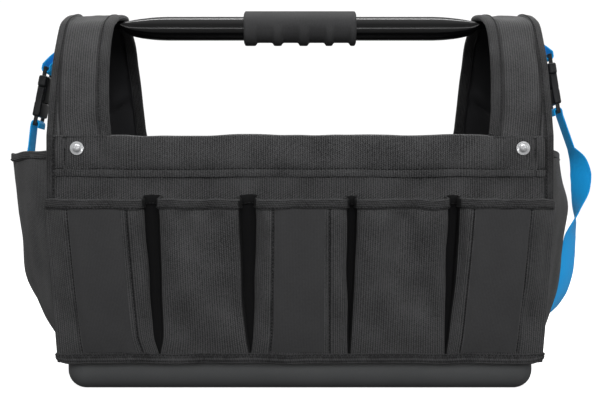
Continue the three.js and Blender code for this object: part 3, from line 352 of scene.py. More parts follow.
def curve_weights(count, places):
    """Weights that read a smooth curve through count points at places from 0 to count - 1."""
    weights = np.zeros((len(places), count))
    for row, place in enumerate(places):
        start = min(int(place), count - 2)
        f = place - start
        parts = (
            ((2 - f) * f - 1) * f / 2,
            ((3 * f - 5) * f * f + 2) / 2,
            ((4 - 3 * f) * f + 1) * f / 2,
            (f - 1) * f * f / 2,
        )
        for index, part in zip(range(start - 1, start + 3), parts):
            if index < 0:
                weights[row, 0] += 2 * part
                weights[row, 1] -= part
            elif index >= count:
                weights[row, -1] += 2 * part
                weights[row, -2] -= part
            else:
                weights[row, index] += part
    return weights


def lengths_along(points):
    steps = np.linalg.norm(np.diff(points, axis=0), axis=1)
    return np.concatenate([[0.0], np.cumsum(steps)])


def smooth_curve(points, count):
    """count + 1 places evenly spaced along a smooth curve through the points."""
    points = np.array(points, float)
    fine = curve_weights(len(points), np.linspace(0, len(points) - 1, 30 * len(points))) @ points
    run = lengths_along(fine)
    even = np.linspace(0, run[-1], count + 1)
    return np.stack([np.interp(even, run, fine[:, axis]) for axis in range(3)], axis=1)


def read_table(rows, place, column):
    """Reads a column of a table of rows at a place in its first column, straight between the rows."""
    return float(np.interp(place, [row[0] for row in rows], [row[column] for row in rows]))


def marks(length, step, seams=()):
    """Places along a length, about a step apart, with close ones at each seam for the sides of its groove."""
    even = np.linspace(0, length, max(2, round(length / step)) + 1)
    close = [s + d for s in seams for d in (-2.2, -0.9, 0, 0.9, 2.2)]
    kept = [m for m in even if all(abs(m - c) > 1.2 for c in close) or m in (0, length)]
    return sorted({*kept, *(c for c in close if 0.5 < c < length - 0.5)})


SURFACES = {}
SEAMS = {}
STITCH_LINES = {}


def select_only(piece=None):
    bpy.ops.object.select_all(action="DESELECT")
    if piece:
        piece.select_set(True)
        bpy.context.view_layer.objects.active = piece


def grid(name, columns, rows):
    """A flat unit grid of columns by rows cells, with the column and row of each of its vertices."""
    select_only()
    bpy.ops.mesh.primitive_grid_add(x_subdivisions=columns, y_subdivisions=rows, size=1, calc_uvs=True)
    piece = bpy.context.active_object
    piece.name = name
    piece.data.name = name
    flat = np.zeros(len(piece.data.vertices) * 3)
    piece.data.vertices.foreach_get("co", flat)
    flat = flat.reshape(-1, 3)
    wide = len(np.unique(np.round(flat[:, 0], 6))) - 1
    tall = len(np.unique(np.round(flat[:, 1], 6))) - 1
    i = np.round((flat[:, 0] + 0.5) * wide).astype(int)
    j = np.round((flat[:, 1] + 0.5) * tall).astype(int)
    return piece, i, j


def set_places(piece, places):
    piece.data.vertices.foreach_set("co", (places * MM).ravel())
    piece.data.update()


def set_uv(piece, i, j, us, vs):
    """The UV map in millimetres along the piece, so that a weave keeps its real size."""
    layer = piece.data.uv_layers[0]
    layer.name = "UVMap"
    corner = np.zeros(len(piece.data.loops), int)
    piece.data.loops.foreach_get("vertex_index", corner)
    uv = np.stack([np.array(us)[i[corner]], np.array(vs)[j[corner]]], axis=1)
    layer.data.foreach_set("uv", uv.ravel())


def apply_modifier(piece, kind, **settings):
    select_only(piece)
    modifier = piece.modifiers.new(kind.lower(), kind)
    for name, value in settings.items():
        setattr(modifier, name, value)
    bpy.ops.object.modifier_apply(modifier=modifier.name)


def smooth(piece, angle=50):
    select_only(piece)
    bpy.ops.object.shade_smooth_by_angle(angle=math.radians(angle))


def finish_piece(piece, material, nodes=None):
    """Gives a finished piece its material and body. It replaces the CAD nodes given, or else the one that has
    its name without the last word."""
    if not piece.data.materials:
        piece.data.materials.append(material)
    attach(piece, "root")
    if nodes is None:
        nodes = (piece.name.rpartition("_")[0],)
    if nodes:
        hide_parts(*nodes)
    return piece


def wrinkles(place, seed, size, depth):
    """Soft wrinkles of about a size in mm, from smooth noise that is the same each run."""
    p = Vector(place) / size + Vector((seed * 7.3, seed * 3.1, seed * 5.7))
    return depth * noise.noise(p)


def groove(distance, depth=1.9, width=1.2):
    return -depth * math.exp(-((distance / width) ** 2))


def cloth(name, net, material, thickness, step=4.0, seams_u=(), seams_v=(), relief=None, lining=None,
          reference=None, cut_away=None, lined=None, nodes=None):
    """A sewn sheet lofted smoothly through a net of points, net[row][column], thickened inwards.
    seams_u and seams_v are stitched lines, in mm from the sheet's left and lower edges. relief(u, v, place)
    is how far the surface stands out at a place, and lined(u) tells where the second material covers the
    outer face too; the front pockets put their painted pleat shade there."""
    net = np.array(net, float)
    rows, columns = net.shape[:2]
    mid_row = net[rows // 2 if reference is None else reference]
    run_u = lengths_along(mid_row)
    run_v = lengths_along(net[:, columns // 2])
    us = marks(run_u[-1], step, seams_u)
    vs = marks(run_v[-1], step, seams_v)
    weights_u = curve_weights(columns, np.interp(us, run_u, range(columns)))
    weights_v = curve_weights(rows, np.interp(vs, run_v, range(rows)))
    surface = np.einsum("vr,rcx,uc->vux", weights_v, net, weights_u)
    normal = np.cross(np.gradient(surface, axis=1), np.gradient(surface, axis=0))
    normal /= np.maximum(np.linalg.norm(normal, axis=2, keepdims=True), 1e-9)
    lift = np.zeros(surface.shape[:2])
    for b, v in enumerate(vs):
        for a, u in enumerate(us):
            lift[b, a] += sum(groove(u - s) for s in seams_u) + sum(groove(v - s) for s in seams_v)
            if relief:
                lift[b, a] += relief(u, v, surface[b, a])
    surface = surface + normal * lift[:, :, None]
    SURFACES[name] = (np.array(us), np.array(vs), surface, normal)
    piece, i, j = grid(name, len(us) - 1, len(vs) - 1)
    set_places(piece, surface[j, i])
    set_uv(piece, i, j, us, vs)
    if cut_away:
        remove_faces(piece, cut_away)
    piece.data.materials.append(material)
    if lining:
        piece.data.materials.append(lining)
    if lined:
        for face in piece.data.polygons:
            face.material_index = int(lined(us[min(i[k] for k in face.vertices)]))
    apply_modifier(piece, "SOLIDIFY", thickness=thickness * MM, offset=-1, use_even_offset=False,
                   material_offset=1 if lining else 0)
    smooth(piece)
    finish_piece(piece, material, nodes)


def select_where(piece, kind, wanted):
    """Leaves the piece in edit mode with its faces or edges selected whose middle, in mm, is wanted. For an
    edge its direction is asked as well."""
    select_only(piece)
    bpy.ops.object.mode_set(mode="EDIT")
    bpy.ops.mesh.select_mode(type=kind)
    bpy.ops.mesh.select_all(action="DESELECT")
    bpy.ops.object.mode_set(mode="OBJECT")
    if kind == "FACE":
        for face in piece.data.polygons:
            face.select = wanted(face.center / MM)
    else:
        points = [v.co / MM for v in piece.data.vertices]
        for edge in piece.data.edges:
            a, b = (points[k] for k in edge.vertices)
            edge.select = wanted((a + b) / 2, (b - a).normalized())
    bpy.ops.object.mode_set(mode="EDIT")


def remove_faces(piece, wanted):
    select_where(piece, "FACE", wanted)
    bpy.ops.mesh.delete(type="FACE")
    bpy.ops.object.mode_set(mode="OBJECT")


def bevel_edges(piece, wanted, offset, segments, profile):
    select_where(piece, "EDGE", wanted)
    bpy.ops.mesh.bevel(offset=offset * MM, offset_type="OFFSET", segments=segments, profile=profile,
                       affect="EDGES")
    bpy.ops.object.mode_set(mode="OBJECT")


def skin(name, rings, material, looped=False, angle=50):
    """A closed solid through rings of equally many points, capped at both ends, or joined into a loop."""
    rings = np.array(rings, float)
    if looped:
        rings = np.concatenate([rings, rings[:1]])
    rings = np.concatenate([rings, rings[:, :1]], axis=1)
    count, around = rings.shape[:2]
    piece, i, j = grid(name, around - 1, count - 1)
    set_places(piece, rings[j, i])
    set_uv(piece, i, j, lengths_along(rings[count // 2]), lengths_along(rings.mean(axis=1)))
    select_only(piece)
    bpy.ops.object.mode_set(mode="EDIT")
    bpy.ops.mesh.select_all(action="SELECT")
    bpy.ops.mesh.remove_doubles(threshold=0.002 * MM)
    if not looped:
        bpy.ops.mesh.select_all(action="DESELECT")
        bpy.ops.mesh.select_mode(type="EDGE")
        bpy.ops.mesh.select_non_manifold(extend=False, use_wire=False, use_multi_face=False,
                                         use_non_contiguous=False, use_verts=False)
        bpy.ops.mesh.edge_face_add()
    bpy.ops.mesh.select_all(action="SELECT")
    bpy.ops.mesh.normals_make_consistent(inside=False)
    bpy.ops.object.mode_set(mode="OBJECT")
    smooth(piece, angle)
    return finish_piece(piece, material)


def unit(vectors):
    return vectors / np.linalg.norm(vectors, axis=1, keepdims=True)


def frames_along(path, ups):
    """At each place of a path: its side and the given up direction made square to the path."""
    ahead = unit(np.gradient(path, axis=0))
    ups = unit(ups - ahead * (ups * ahead).sum(axis=1, keepdims=True))
    return np.cross(ahead, ups), ups


def rounded_section(width, thickness, corner=0.45, steps=3):
    """A flat section with rounded corners, as pairs: across the width and through the thickness."""
    radius = thickness * corner
    section = []
    for quarter, (a, b) in enumerate(((1, 1), (-1, 1), (-1, -1), (1, -1))):
        for k in range(steps + 1):
            angle = (quarter + k / steps) * math.pi / 2
            section.append((
                a * (width / 2 - radius) + radius * math.cos(angle),
                b * (thickness / 2 - radius) + radius * math.sin(angle),
            ))
    return section


def sweep(name, path, ups, section, material, scale=None):
    """A section carried along a path: its first number goes to the side and its second up. scale holds a pair
    of factors for each place."""
    side, ups = frames_along(path, ups)
    SEAMS[name] = (path, side, ups)
    rings = []
    for k, place in enumerate(path):
        wide, thick = scale[k] if scale else (1, 1)
        rings.append([place + side[k] * a * wide + ups[k] * b * thick for a, b in section])
    return skin(name, rings, material)


# Sewing

def seam_line(name, u=None, v=None, start=0.0, end=1.0, lift=0.6):
    """The places of a stitched line on a finished sheet, along the grid line nearest to u or v in mm."""
    us, vs, surface, normal = SURFACES[name]
    if u is not None:
        k = int(np.argmin(np.abs(us - u)))
        line = surface[:, k] + normal[:, k] * lift
    else:
        k = int(np.argmin(np.abs(vs - v)))
        line = surface[k] + normal[k] * lift
    first, last = int(start * (len(line) - 1)), int(math.ceil(end * (len(line) - 1)))
    return line[first:last + 1]


def tape_line(name, across, out):
    """A stitched line on a swept tape, given along the tape's side and up directions."""
    path, side, ups = SEAMS[name]
    return path + side * across + ups * out


def stitched(name, lines):
    """Lock stitches: a capsule of thread, arrayed along each line and bent to it, all joined in one piece."""
    made = []
    for line in lines:
        data = bpy.data.curves.new(f"{name}_path", "CURVE")
        data.dimensions = "3D"
        spline = data.splines.new("POLY")
        spline.points.add(len(line) - 1)
        for point, place in zip(spline.points, line):
            point.co = (*(Vector(place) * MM), 1)
        path = bpy.data.objects.new(f"{name}_path", data)
        bpy.context.scene.collection.objects.link(path)
        select_only()
        bpy.ops.mesh.primitive_uv_sphere_add(segments=6, ring_count=4, radius=THREAD * MM)
        row = bpy.context.active_object
        row.rotation_euler = (0, math.radians(90), 0)
        bpy.ops.object.transform_apply(location=False, rotation=True, scale=False)
        row.scale = (STITCH * 0.38 / THREAD, 1, 1)
        row.location = (STITCH / 2 * MM, 0, 0)
        bpy.ops.object.transform_apply(location=True, rotation=False, scale=True)
        apply_modifier(row, "ARRAY", fit_type="FIT_CURVE", curve=path, use_relative_offset=False,
                       use_constant_offset=True, constant_offset_displace=(STITCH * MM, 0, 0))
        apply_modifier(row, "CURVE", object=path, deform_axis="POS_X")
        bpy.data.objects.remove(path)
        made.append(row)
    select_only()
    for row in made:
        row.select_set(True)
    bpy.context.view_layer.objects.active = made[0]
    bpy.ops.object.join()
    piece = bpy.context.active_object
    piece.name = name
    piece.data.name = name
    bpy.ops.object.shade_smooth()
    finish_piece(piece, SEWING_THREAD, ())


# The tote's shape

def lean(height):
    return min(max((height - (WALL_FOOT - FIT)) / (POCKET_TOP - WALL_FOOT + FIT), 0), 1)


def half_length(height):
    return BOTTOM_HALF + (BODY_HALF - BOTTOM_HALF) * lean(height)


def half_depth(height):
    return BOTTOM_DEEP + (BODY_DEEP - BOTTOM_DEEP) * lean(height)


# Half of the arch's outline: the share of half the body's depth in from the face, and of the arch's rise.
ARCH_OUTLINE = (
    (0, 0), (0.1, 0.3), (0.2, 0.54), (0.31, 0.7), (0.43, 0.84), (0.57, 0.91), (0.77, 0.97), (1, 1),
)
ARCH_STEPS = 80


def arch_path():
    rising = [(0, -BODY_DEEP * (1 - inward), RIM + rise * (ARCH_TOP - RIM)) for inward, rise in ARCH_OUTLINE]
    falling = [(0, -y, z) for _, y, z in rising[-2::-1]]
    return smooth_curve(rising + falling, ARCH_STEPS)


ARCH = arch_path()


def outward(path):
    """The outward direction at each place of an outline that runs from the front over the top to the back."""
    ahead = np.gradient(path, axis=0)
    out = np.stack([np.zeros(len(path)), -ahead[:, 2], ahead[:, 1]], axis=1)
    return unit(out)


def edge_path(bottom, step=9):
    """The end's outline from a lowest height on the front, over the arch, to the same height on the back."""
    up = np.arange(bottom, RIM - 2, step)
    front = np.array([(0, -half_depth(z), z) for z in up])
    back = front[::-1] * (1, -1, 1)
    return np.concatenate([front, ARCH, back])


ARCH_OUT = outward(ARCH)
ARCH_OUT[0] = (0, -1, 0)
ARCH_OUT[-1] = (0, 1, 0)

# The arch's inner edge: the share of the way up, and how far in it stands from the middle of the tote.
INNER_EDGE = ((0, -3.0), (0.06, 0.4), (0.14, 2.4), (0.26, 4.4), (0.4, 4.6), (0.5, 1.6))


def inner_edge(share):
    return ARCH_INNER + read_table(INNER_EDGE, min(share, 1 - share), 1)


# The arch band's seams, in mm from its inner and outer edge, and the tape folded over its inner edge.
ARCH_SEAM = 8.5
PIPING_SEAM = 6.2
ARCH_TAPE = 11.5
ARCH_TAPE_THICK = CLOTH + 3.6


def arch_band(end):
    """Band over an arch, ribbed cloth outside and lining inside, with its feet behind the rim bands."""
    foot = [(0, -BODY_DEEP, z) for z in np.linspace(RIM_BAND_FOOT + 1, RIM - 8, 4)]
    path = np.concatenate([np.array(foot), ARCH, np.array(foot)[::-1] * (1, -1, 1)])
    outer = BODY_HALF - 1.5
    net = []
    for k, place in enumerate(path):
        share = min(max((k - len(foot)) / ARCH_STEPS, 0), 1)
        inner = inner_edge(share) + 2
        across = [inner, inner + ARCH_SEAM, inner + 22, inner + 34, inner + 45, outer]
        if end < 0:
            across = across[::-1]
        net.append([(end * x, place[1], place[2]) for x in across])
    width = abs(net[len(net) // 2][0][0] - net[len(net) // 2][-1][0])
    seams = (width - ARCH_SEAM, PIPING_SEAM) if end < 0 else (ARCH_SEAM, width - PIPING_SEAM)

    def relief(u, v, place):
        x = abs(place[0])
        bulge = 1.3 * math.sin(math.pi * min(max(u / width, 0), 1))
        folds = wrinkles((place[0] / 2.2, place[1] / 3, place[2] / 5), 3 + end, 7, 1.0)
        slow = wrinkles(place, 5 + end, 45, 1.6)
        crease = 0
        if place[1] > 60:
            right, up = x - 215, place[2] - 292
            slant = right * 0.75 + up
            near = math.exp(-((right / 16) ** 2) - (up / 18) ** 2)
            crease = (5 * math.exp(-((slant / 5) ** 2)) - 3.6 * math.exp(-(((slant - 11) / 7) ** 2))) * near
        return bulge + folds + slow + crease

    cloth(f"arch_band_{ENDS[end]}_cloth", net, BALLISTIC_NYLON, 2.2, step=3.6, seams_u=seams, relief=relief,
          lining=TAFFETA_LINING, nodes=(f"arch_band_{ENDS[end]}", f"end_lining_{ENDS[end]}"))


def arch_binding(end):
    """Folded tape on the arch's inner edge, a soft roll that stands proud of the band on both sides."""
    path = []
    for k, place in enumerate(ARCH):
        x = inner_edge(k / ARCH_STEPS) + ARCH_TAPE / 2 - 0.6
        path.append(place + np.array([end * x, 0, 0]) - ARCH_OUT[k] * CLOTH / 2)
    path = np.array(path)
    path[0, 2] = path[-1, 2] = RIM + 0.2
    scale = [(1, min(1, 0.55 + 0.45 * min(k, ARCH_STEPS - k) / 7)) for k in range(ARCH_STEPS + 1)]
    section = rounded_section(ARCH_TAPE, ARCH_TAPE_THICK, 0.48, 4)
    sweep(f"arch_binding_{ENDS[end]}_tape", path, ARCH_OUT, section, GROSGRAIN_TAPE, scale=scale)


def corner_piping(end):
    """Tape folded over the seam between the end and the walls or arch, rounded at its corner."""
    path = edge_path(HEM_TOP + 1)
    out = outward(path)
    straight = path[:, 2] < RIM - 1
    out[straight] = np.sign(path[straight, 1])[:, None] * np.array([0, 1.0, 0])
    proud = FIT + TAPE
    flat = [(-PIPING, proud - 1.5), (-PIPING + 0.4, proud - 0.2), (-PIPING / 2, proud + 0.35), (-1, proud)]
    corner = [(proud * 0.45, proud * 0.8), (proud * 0.8, proud * 0.45)]
    section = flat + corner + [(b, a) for a, b in reversed(flat)] + [(-1, -1)]
    rings = []
    stitches = []
    for k, place in enumerate(path):
        x = half_length(place[2])
        rings.append([(end * (x + a), *(place[1:] + out[k][1:] * b)) for a, b in section])
        stitches.append((end * (x - PIPING + 1.5), *(place[1:] + out[k][1:] * (proud + 0.35))))
    STITCH_LINES.setdefault(f"piping_stitching_{ENDS[end]}", []).append(np.array(stitches))
    skin(f"corner_piping_{ENDS[end]}_tape", rings, GROSGRAIN_TAPE, angle=70)


def end_panel(end):
    """The end's own cloth, inside the walls and the arch band, with its lining behind it."""
    tuck = CLOTH + FIT
    edge = [(-half_depth(z) + tuck, z) for z in (WALL_FOOT, 70, 125, POCKET_TOP, RIM - 6)]
    inset = ARCH[1:ARCH_STEPS // 2 - 1:3] - ARCH_OUT[1:ARCH_STEPS // 2 - 1:3] * tuck
    rows = edge + [(y, z) for _, y, z in inset]
    across = np.linspace(-1, 1, 9) * end
    net = [[(end * (half_length(z) - 0.2), -y * a, z) for a in across] for y, z in rows]

    def relief(u, v, place):
        edge_share = 1 - abs(place[1]) / BODY_DEEP
        slack = min(1, edge_share * 4) * min(1, max(0, ARCH_TOP - place[2]) / 40)
        return slack * (0.8 + wrinkles(place, 11 + end, 60, 2.4) + wrinkles(place, 13 + end, 24, 0.9))

    cloth(f"end_panel_{ENDS[end]}_cloth", net, BALLISTIC_NYLON, 3.4, step=6, relief=relief,
          lining=TAFFETA_LINING, reference=2)


def wall(face):
    """Front or back wall, cut away at the top corners where the arch bands' feet stand."""
    heights = (WALL_FOOT, 60, 95, 130, POCKET_TOP, 205, 225, RIM - 1.5)
    across = np.linspace(-1, 1, 13) * -face
    net = [[(x * half_length(z), face * half_depth(z), z) for x in across] for z in heights]

    def relief(u, v, place):
        slack = min(1, (1 - abs(place[0]) / BODY_HALF) * 8)
        if face < 0:
            slack *= min(1, max(0, (place[2] - POCKET_TOP) / 12))
        return slack * (wrinkles(place, 17 + face, 70, 2.0) + wrinkles(place, 19 + face, 26, 0.7)) - 0.3

    def behind_band(place):
        return abs(place.x) > ARCH_INNER - 1 and place.z > RIM_BAND_FOOT + 4

    cloth(f"{FACES[face]}_wall_cloth", net, BALLISTIC_NYLON, CLOTH, step=6, relief=relief,
          lining=TAFFETA_LINING, reference=4, cut_away=behind_band)


# The rim band's seams, in mm from its lower edge and from its ends.
RIM_HEM = 8.5
RIM_SIDE_SEAM = 10.5


def rim_band(face):
    """Band folded over the rim, with a stitched hem and the slight waves of a sewn edge."""
    end = BODY_HALF + FIT + TAPE - PIPING - FIT
    fold = ARCH_INNER - 1.5
    xs = [fold, fold + 2.5, 195, 215, end]
    xs = [-x for x in xs[::-1]] + [-150, -100, -50, 0, 50, 100, 150] + xs
    skin_y = BODY_DEEP + FIT + TAPE
    outside = [(skin_y + out, z) for out, z in (
        (0.6, RIM_BAND_FOOT - 0.6), (1.7, RIM_BAND_FOOT + 1.4), (1.7, RIM_BAND_FOOT + 5),
        (0.4, RIM_BAND_FOOT + RIM_HEM), (0.7, RIM_BAND_FOOT + 15), (0.9, RIM - 14), (0.4, RIM - 5),
        (-0.4, RIM - 1), (-1.4, RIM + 0.5))]
    inside = [(BODY_DEEP - a, RIM + b) for a, b in ((1.2, 1), (3.2, 0.5), (4.2, -1.5), (4.4, -8), (4.2, -14))]
    short = [(BODY_DEEP + a, RIM + b) for a, b in ((0.1, 0.2), (0, -0.4), (0, -1), (0, -1.6), (0, -2.2))]
    order = xs if face < 0 else xs[::-1]
    net = []
    for k in range(len(outside) + len(inside)):
        row = []
        for x in order:
            within = abs(x) <= fold + 0.01
            y, z = outside[k] if k < len(outside) else (inside if within else short)[k - len(outside)]
            wave = wrinkles((x, 0, z / 2), 23 + face, 38, 1.3)
            row.append((x, face * y, z + wave))
        net.append(row)
    length = 2 * end

    def relief(u, v, place):
        x = abs(place[0])
        pull = -0.9 * math.exp(-(((x - 212) / 16) ** 2)) if place[2] < RIM - 2 else 0
        edge = -1.8 * math.exp(-((min(u, length - u) / 1.6) ** 2))
        return pull + edge + wrinkles(place, 29 + face, 22, 0.8)

    cloth(f"rim_band_{FACES[face]}_cloth", net, BALLISTIC_NYLON, 1.4, step=4,
          seams_u=(RIM_SIDE_SEAM, length - RIM_SIDE_SEAM), seams_v=(RIM_HEM,), relief=relief, reference=4)


# Front pockets. The seams from end to end: place as a share of the body's length from its middle, width of
# the pleat's mouth and rise of the seam's top in mm, and a power, low where the pleat stays open far down.
# The two outer ones lie at the corners and have no pleat.
POCKET_SEAMS = (
    (-0.5, 0, 0, 1), (-0.293, 13.8, 2.5, 0.3), (-0.102, 14.7, 2.5, 0.6), (0.102, 7.8, 2, 0.8),
    (0.302, 9.7, 2, 0.7), (0.5, 0, 0, 1),
)

# The five pockets: the left and right crease as shares of the width, and how far the face stands out at its
# left edge, right edge and middle, as shares of its depth.
POCKETS = (
    (0.25, 0.84, 0.25, 0.84, 1.0),
    (0.28, 0.72, 0.8, 0.8, 0.86),
    (0.195, 0.8, 0.86, 0.86, 1.0),
    (0.28, 0.75, 0.84, 0.84, 0.9),
    (0.145, 0.73, 0.84, 0.2, 1.0),
)
PATCHED = (0, 2, 4)

# How a pocket opens from the hem to its mouth: height share, depth share, pleat share.
POCKET_OPENING = (
    (-0.07, 0, 0.02), (0, 0.02, 0.04), (0.1, 0.2, 0.14), (0.25, 0.41, 0.3), (0.42, 0.6, 0.46),
    (0.66, 0.82, 0.7), (0.86, 0.95, 0.88), (1, 1, 1),
)

# The heights of the rows that a pocket's cloth is lofted through.
POCKET_HEIGHTS = (WALL_FOOT + 1, HEM_TOP, 52, 74, 98, 134, 160, POCKET_TOP - 3)

# The places of the two creases among the points of a pocket's row. Its face: where it starts and how far it
# goes, as shares of the cloth's run, and its height in mm.
LEFT_CREASE, RIGHT_CREASE = 5, 8
FACE_START = 0.12
FACE_SHARE = 0.76
FACE_HEIGHT = 147

# Soft dents in each pocket's face: share across, share up, width, height and depth in mm.
DENTS = (
    ((0.12, 0.2, 12, 18, -3.2), (0.93, 0.5, 7, 40, 1.92)),
    ((0.3, 0.93, 8, 26, -4.16), (0.5, 0.86, 7, 24, 3.84), (0.72, 0.9, 8, 26, -5.12),
     (0.82, 0.3, 11, 20, -5.76), (0.45, 0.45, 22, 50, 4.16), (0.2, 0.25, 9, 26, -3.84)),
    ((0.9, 0.4, 7, 24, 2.88), (0.08, 0.7, 7, 24, -2.56)),
    ((0.28, 0.86, 7, 26, 4.16), (0.5, 0.9, 8, 30, -5.44), (0.7, 0.88, 7, 26, 3.52), (0.42, 0.5, 9, 24, -3.52),
     (0.78, 0.34, 13, 22, -5.12), (0.2, 0.56, 8, 30, 2.88)),
    ((0.9, 0.25, 10, 20, -3.84), (0.05, 0.6, 7, 30, -2.56)),
)


def is_corner(seam):
    return seam in (0, len(POCKET_SEAMS) - 1)


def seam_x(seam, height):
    share = POCKET_SEAMS[seam][0]
    return share * 2 * (half_length(height) + (FIT + TAPE if is_corner(seam) else 0))


def pleat_half(seam, share):
    width, power = POCKET_SEAMS[seam][1], POCKET_SEAMS[seam][3]
    return width * read_table(POCKET_OPENING, share, 2) ** power * min(1, max(share, 0) / 0.1 + 0.05) / 2


def pocket_row(pocket, height):
    """The section of a pocket at a height: from its left seam round its face to its right seam."""
    left_crease, right_crease, left_out, right_out, middle_out = POCKETS[pocket]
    share = (height - HEM_TOP) / (POCKET_TOP - HEM_TOP)
    depth = read_table(POCKET_OPENING, share, 1)
    wall_y = half_depth(height)
    start = seam_x(pocket, height) + pleat_half(pocket, share)
    end = seam_x(pocket + 1, height) - pleat_half(pocket + 1, share)
    width = end - start

    def out(part):
        return wall_y + POCKET_SEWN + (POCKET_DEPTH - POCKET_SEWN) * depth * part

    def side(seam, edge_x, edge_out, way):
        far = out(edge_out)
        if is_corner(seam):
            x, base = seam_x(seam, height) + way * 0.15, wall_y + FIT + TAPE + FIT
            line = ((x, base), (x * 0.62 + edge_x * 0.38, base * 0.6 + far * 0.4),
                    (x * 0.1 + edge_x * 0.9, base * 0.16 + far * 0.84))
        else:
            x, base = seam_x(seam, height) - way * 0.4, wall_y + FIT
            line = ((x, base), (edge_x + way * 1.5, base * 0.9 + far * 0.1),
                    (edge_x, base * 0.45 + far * 0.55))
        rise = POCKET_SEAMS[seam][2] * max(share, 0) ** 4
        return [(x, -y, height + rise * part) for (x, y), part in zip(line, (1, 0.75, 0.2))]

    left = side(pocket, start, left_out, 1)
    right = side(pocket + 1, end, right_out, -1)
    face = [
        (start + width * 0.045, -out(left_out * 0.9), height),
        (start + width * left_crease * 0.5, -out((left_out + 1) / 2 + 0.03), height),
        (start + width * left_crease, -out(1.0), height),
        (start + width * (left_crease * 0.67 + right_crease * 0.33), -out((1 + middle_out) / 2), height),
        (start + width * (left_crease * 0.33 + right_crease * 0.67), -out(middle_out), height),
        (start + width * right_crease, -out(1.0), height),
        (end - width * (1 - right_crease) * 0.5, -out((right_out + 1) / 2 + 0.03), height),
        (end - width * 0.045, -out(right_out * 0.9), height),
    ]
    return left + face + right[::-1]


def front_pocket(pocket):
    net = [pocket_row(pocket, z) for z in POCKET_HEIGHTS]
    run = lengths_along(np.array(net[len(net) // 2]))
    total = run[-1]
    seams = (run[LEFT_CREASE], run[RIGHT_CREASE]) if pocket in PATCHED else ()

    def relief(u, v, place):
        up = (place[2] - HEM_TOP) / (POCKET_TOP - HEM_TOP)
        across = (u / total - FACE_START) / FACE_SHARE
        dent = 0
        for a, b, wide, tall, depth in DENTS[pocket]:
            x, z = (across - a) * total * FACE_SHARE / wide, (up - b) * FACE_HEIGHT / tall
            dent += depth * math.exp(-x ** 2 - z ** 2)
        hem_pucker = 0.5 * math.exp(-max(place[2] - HEM_TOP, 0) / 9) * math.sin(u / 3.6)
        soft = wrinkles((place[0], place[1], place[2] / 2.4), 31 + pocket, 20, 1.5) * min(1, max(up, 0) * 3)
        smoothness = 0.35 if seams and seams[0] < u < seams[1] else 1
        below_mouth = min(1, max(0, (POCKET_TOP - MOUTH_TAPE - place[2]) / 8))
        beyond_pleat = min(1, max(0, min(u, total - u) - run[1]) / 4)
        return ((dent + soft) * smoothness * below_mouth + hem_pucker) * beyond_pleat

    # The faces in the pleats get the painted pleat shade, a nearly black cloth that stands in for the shade
    # deep in the gaps between pockets.
    def in_pleat_shade(u):
        return pocket > 0 and u < run[2] or pocket < len(POCKETS) - 1 and u > total - run[2] - 3.4

    cloth(f"front_pocket_{pocket + 1}_cloth", net, BALLISTIC_NYLON, 1.8, step=3.4, seams_u=seams,
          relief=relief, lining=PAINTED_PLEAT_SHADE, lined=in_pleat_shade)


def pocket_patch(pocket):
    """Smooth patch sewn on a pocket's face between its creases."""
    us, _, surface, normal = SURFACES[f"front_pocket_{pocket + 1}_cloth"]
    run = lengths_along(np.array(pocket_row(pocket, POCKET_HEIGHTS[4])))
    inside = np.where((us > run[LEFT_CREASE] + 1) & (us < run[RIGHT_CREASE] - 1))[0]
    inside = inside[::2] if len(inside) > 8 else inside
    tall = np.where(surface[:, len(us) // 2, 2] > HEM_TOP - 2)[0][::2]
    net = surface[np.ix_(tall, inside)] + normal[np.ix_(tall, inside)]
    width = lengths_along(net[len(net) // 2])[-1]

    def relief(u, v, place):
        return -0.9 * (math.exp(-((u / 2.2) ** 2)) + math.exp(-(((width - u) / 2.2) ** 2)))

    cloth(f"pocket_patch_{pocket + 1}_cloth", net, OXFORD_NYLON, 0.9, step=3.4, relief=relief)


def mouth_tape(name, path, rises, width, thickness):
    """Tape folded over a pocket's mouth along a path, raised here and there by the waves of its sewn edge."""
    section = [(b, a) for a, b in rounded_section(width, thickness, 0.48, 3)]
    return sweep(name, path + [(0, 0, rise) for rise in rises], np.tile((0, 0, 1.0), (len(path), 1)), section,
                 GROSGRAIN_TAPE)


def pocket_mouth(pocket):
    """The mouth's tape from seam to seam, with painted pleat shade on the faces where it dips into the
    pleats.
    """
    row = np.array(pocket_row(pocket, POCKET_TOP - MOUTH_TAPE / 2))
    row[:, 2] += np.array(pocket_row(pocket, POCKET_TOP))[:, 2] - POCKET_TOP
    row[:, 0] = np.clip(row[:, 0], -BODY_HALF + 1, BODY_HALF - 1)
    path = smooth_curve(row, 44)
    rises = [wrinkles((p[0], 0, 0), 41, 17, 1.7) for p in path]
    tape = mouth_tape(f"front_pocket_binding_{pocket + 1}_tape", path, rises, MOUTH_TAPE, 3.2)
    tape.data.materials.append(PAINTED_PLEAT_SHADE)
    pleats = [(seam_x(seam, POCKET_TOP), pleat_half(seam, 1)) for seam in (pocket, pocket + 1)]
    for face in tape.data.polygons:
        x = face.center.x / MM
        face.material_index = int(any(abs(x - middle) < half + 0.6 for middle, half in pleats if half))


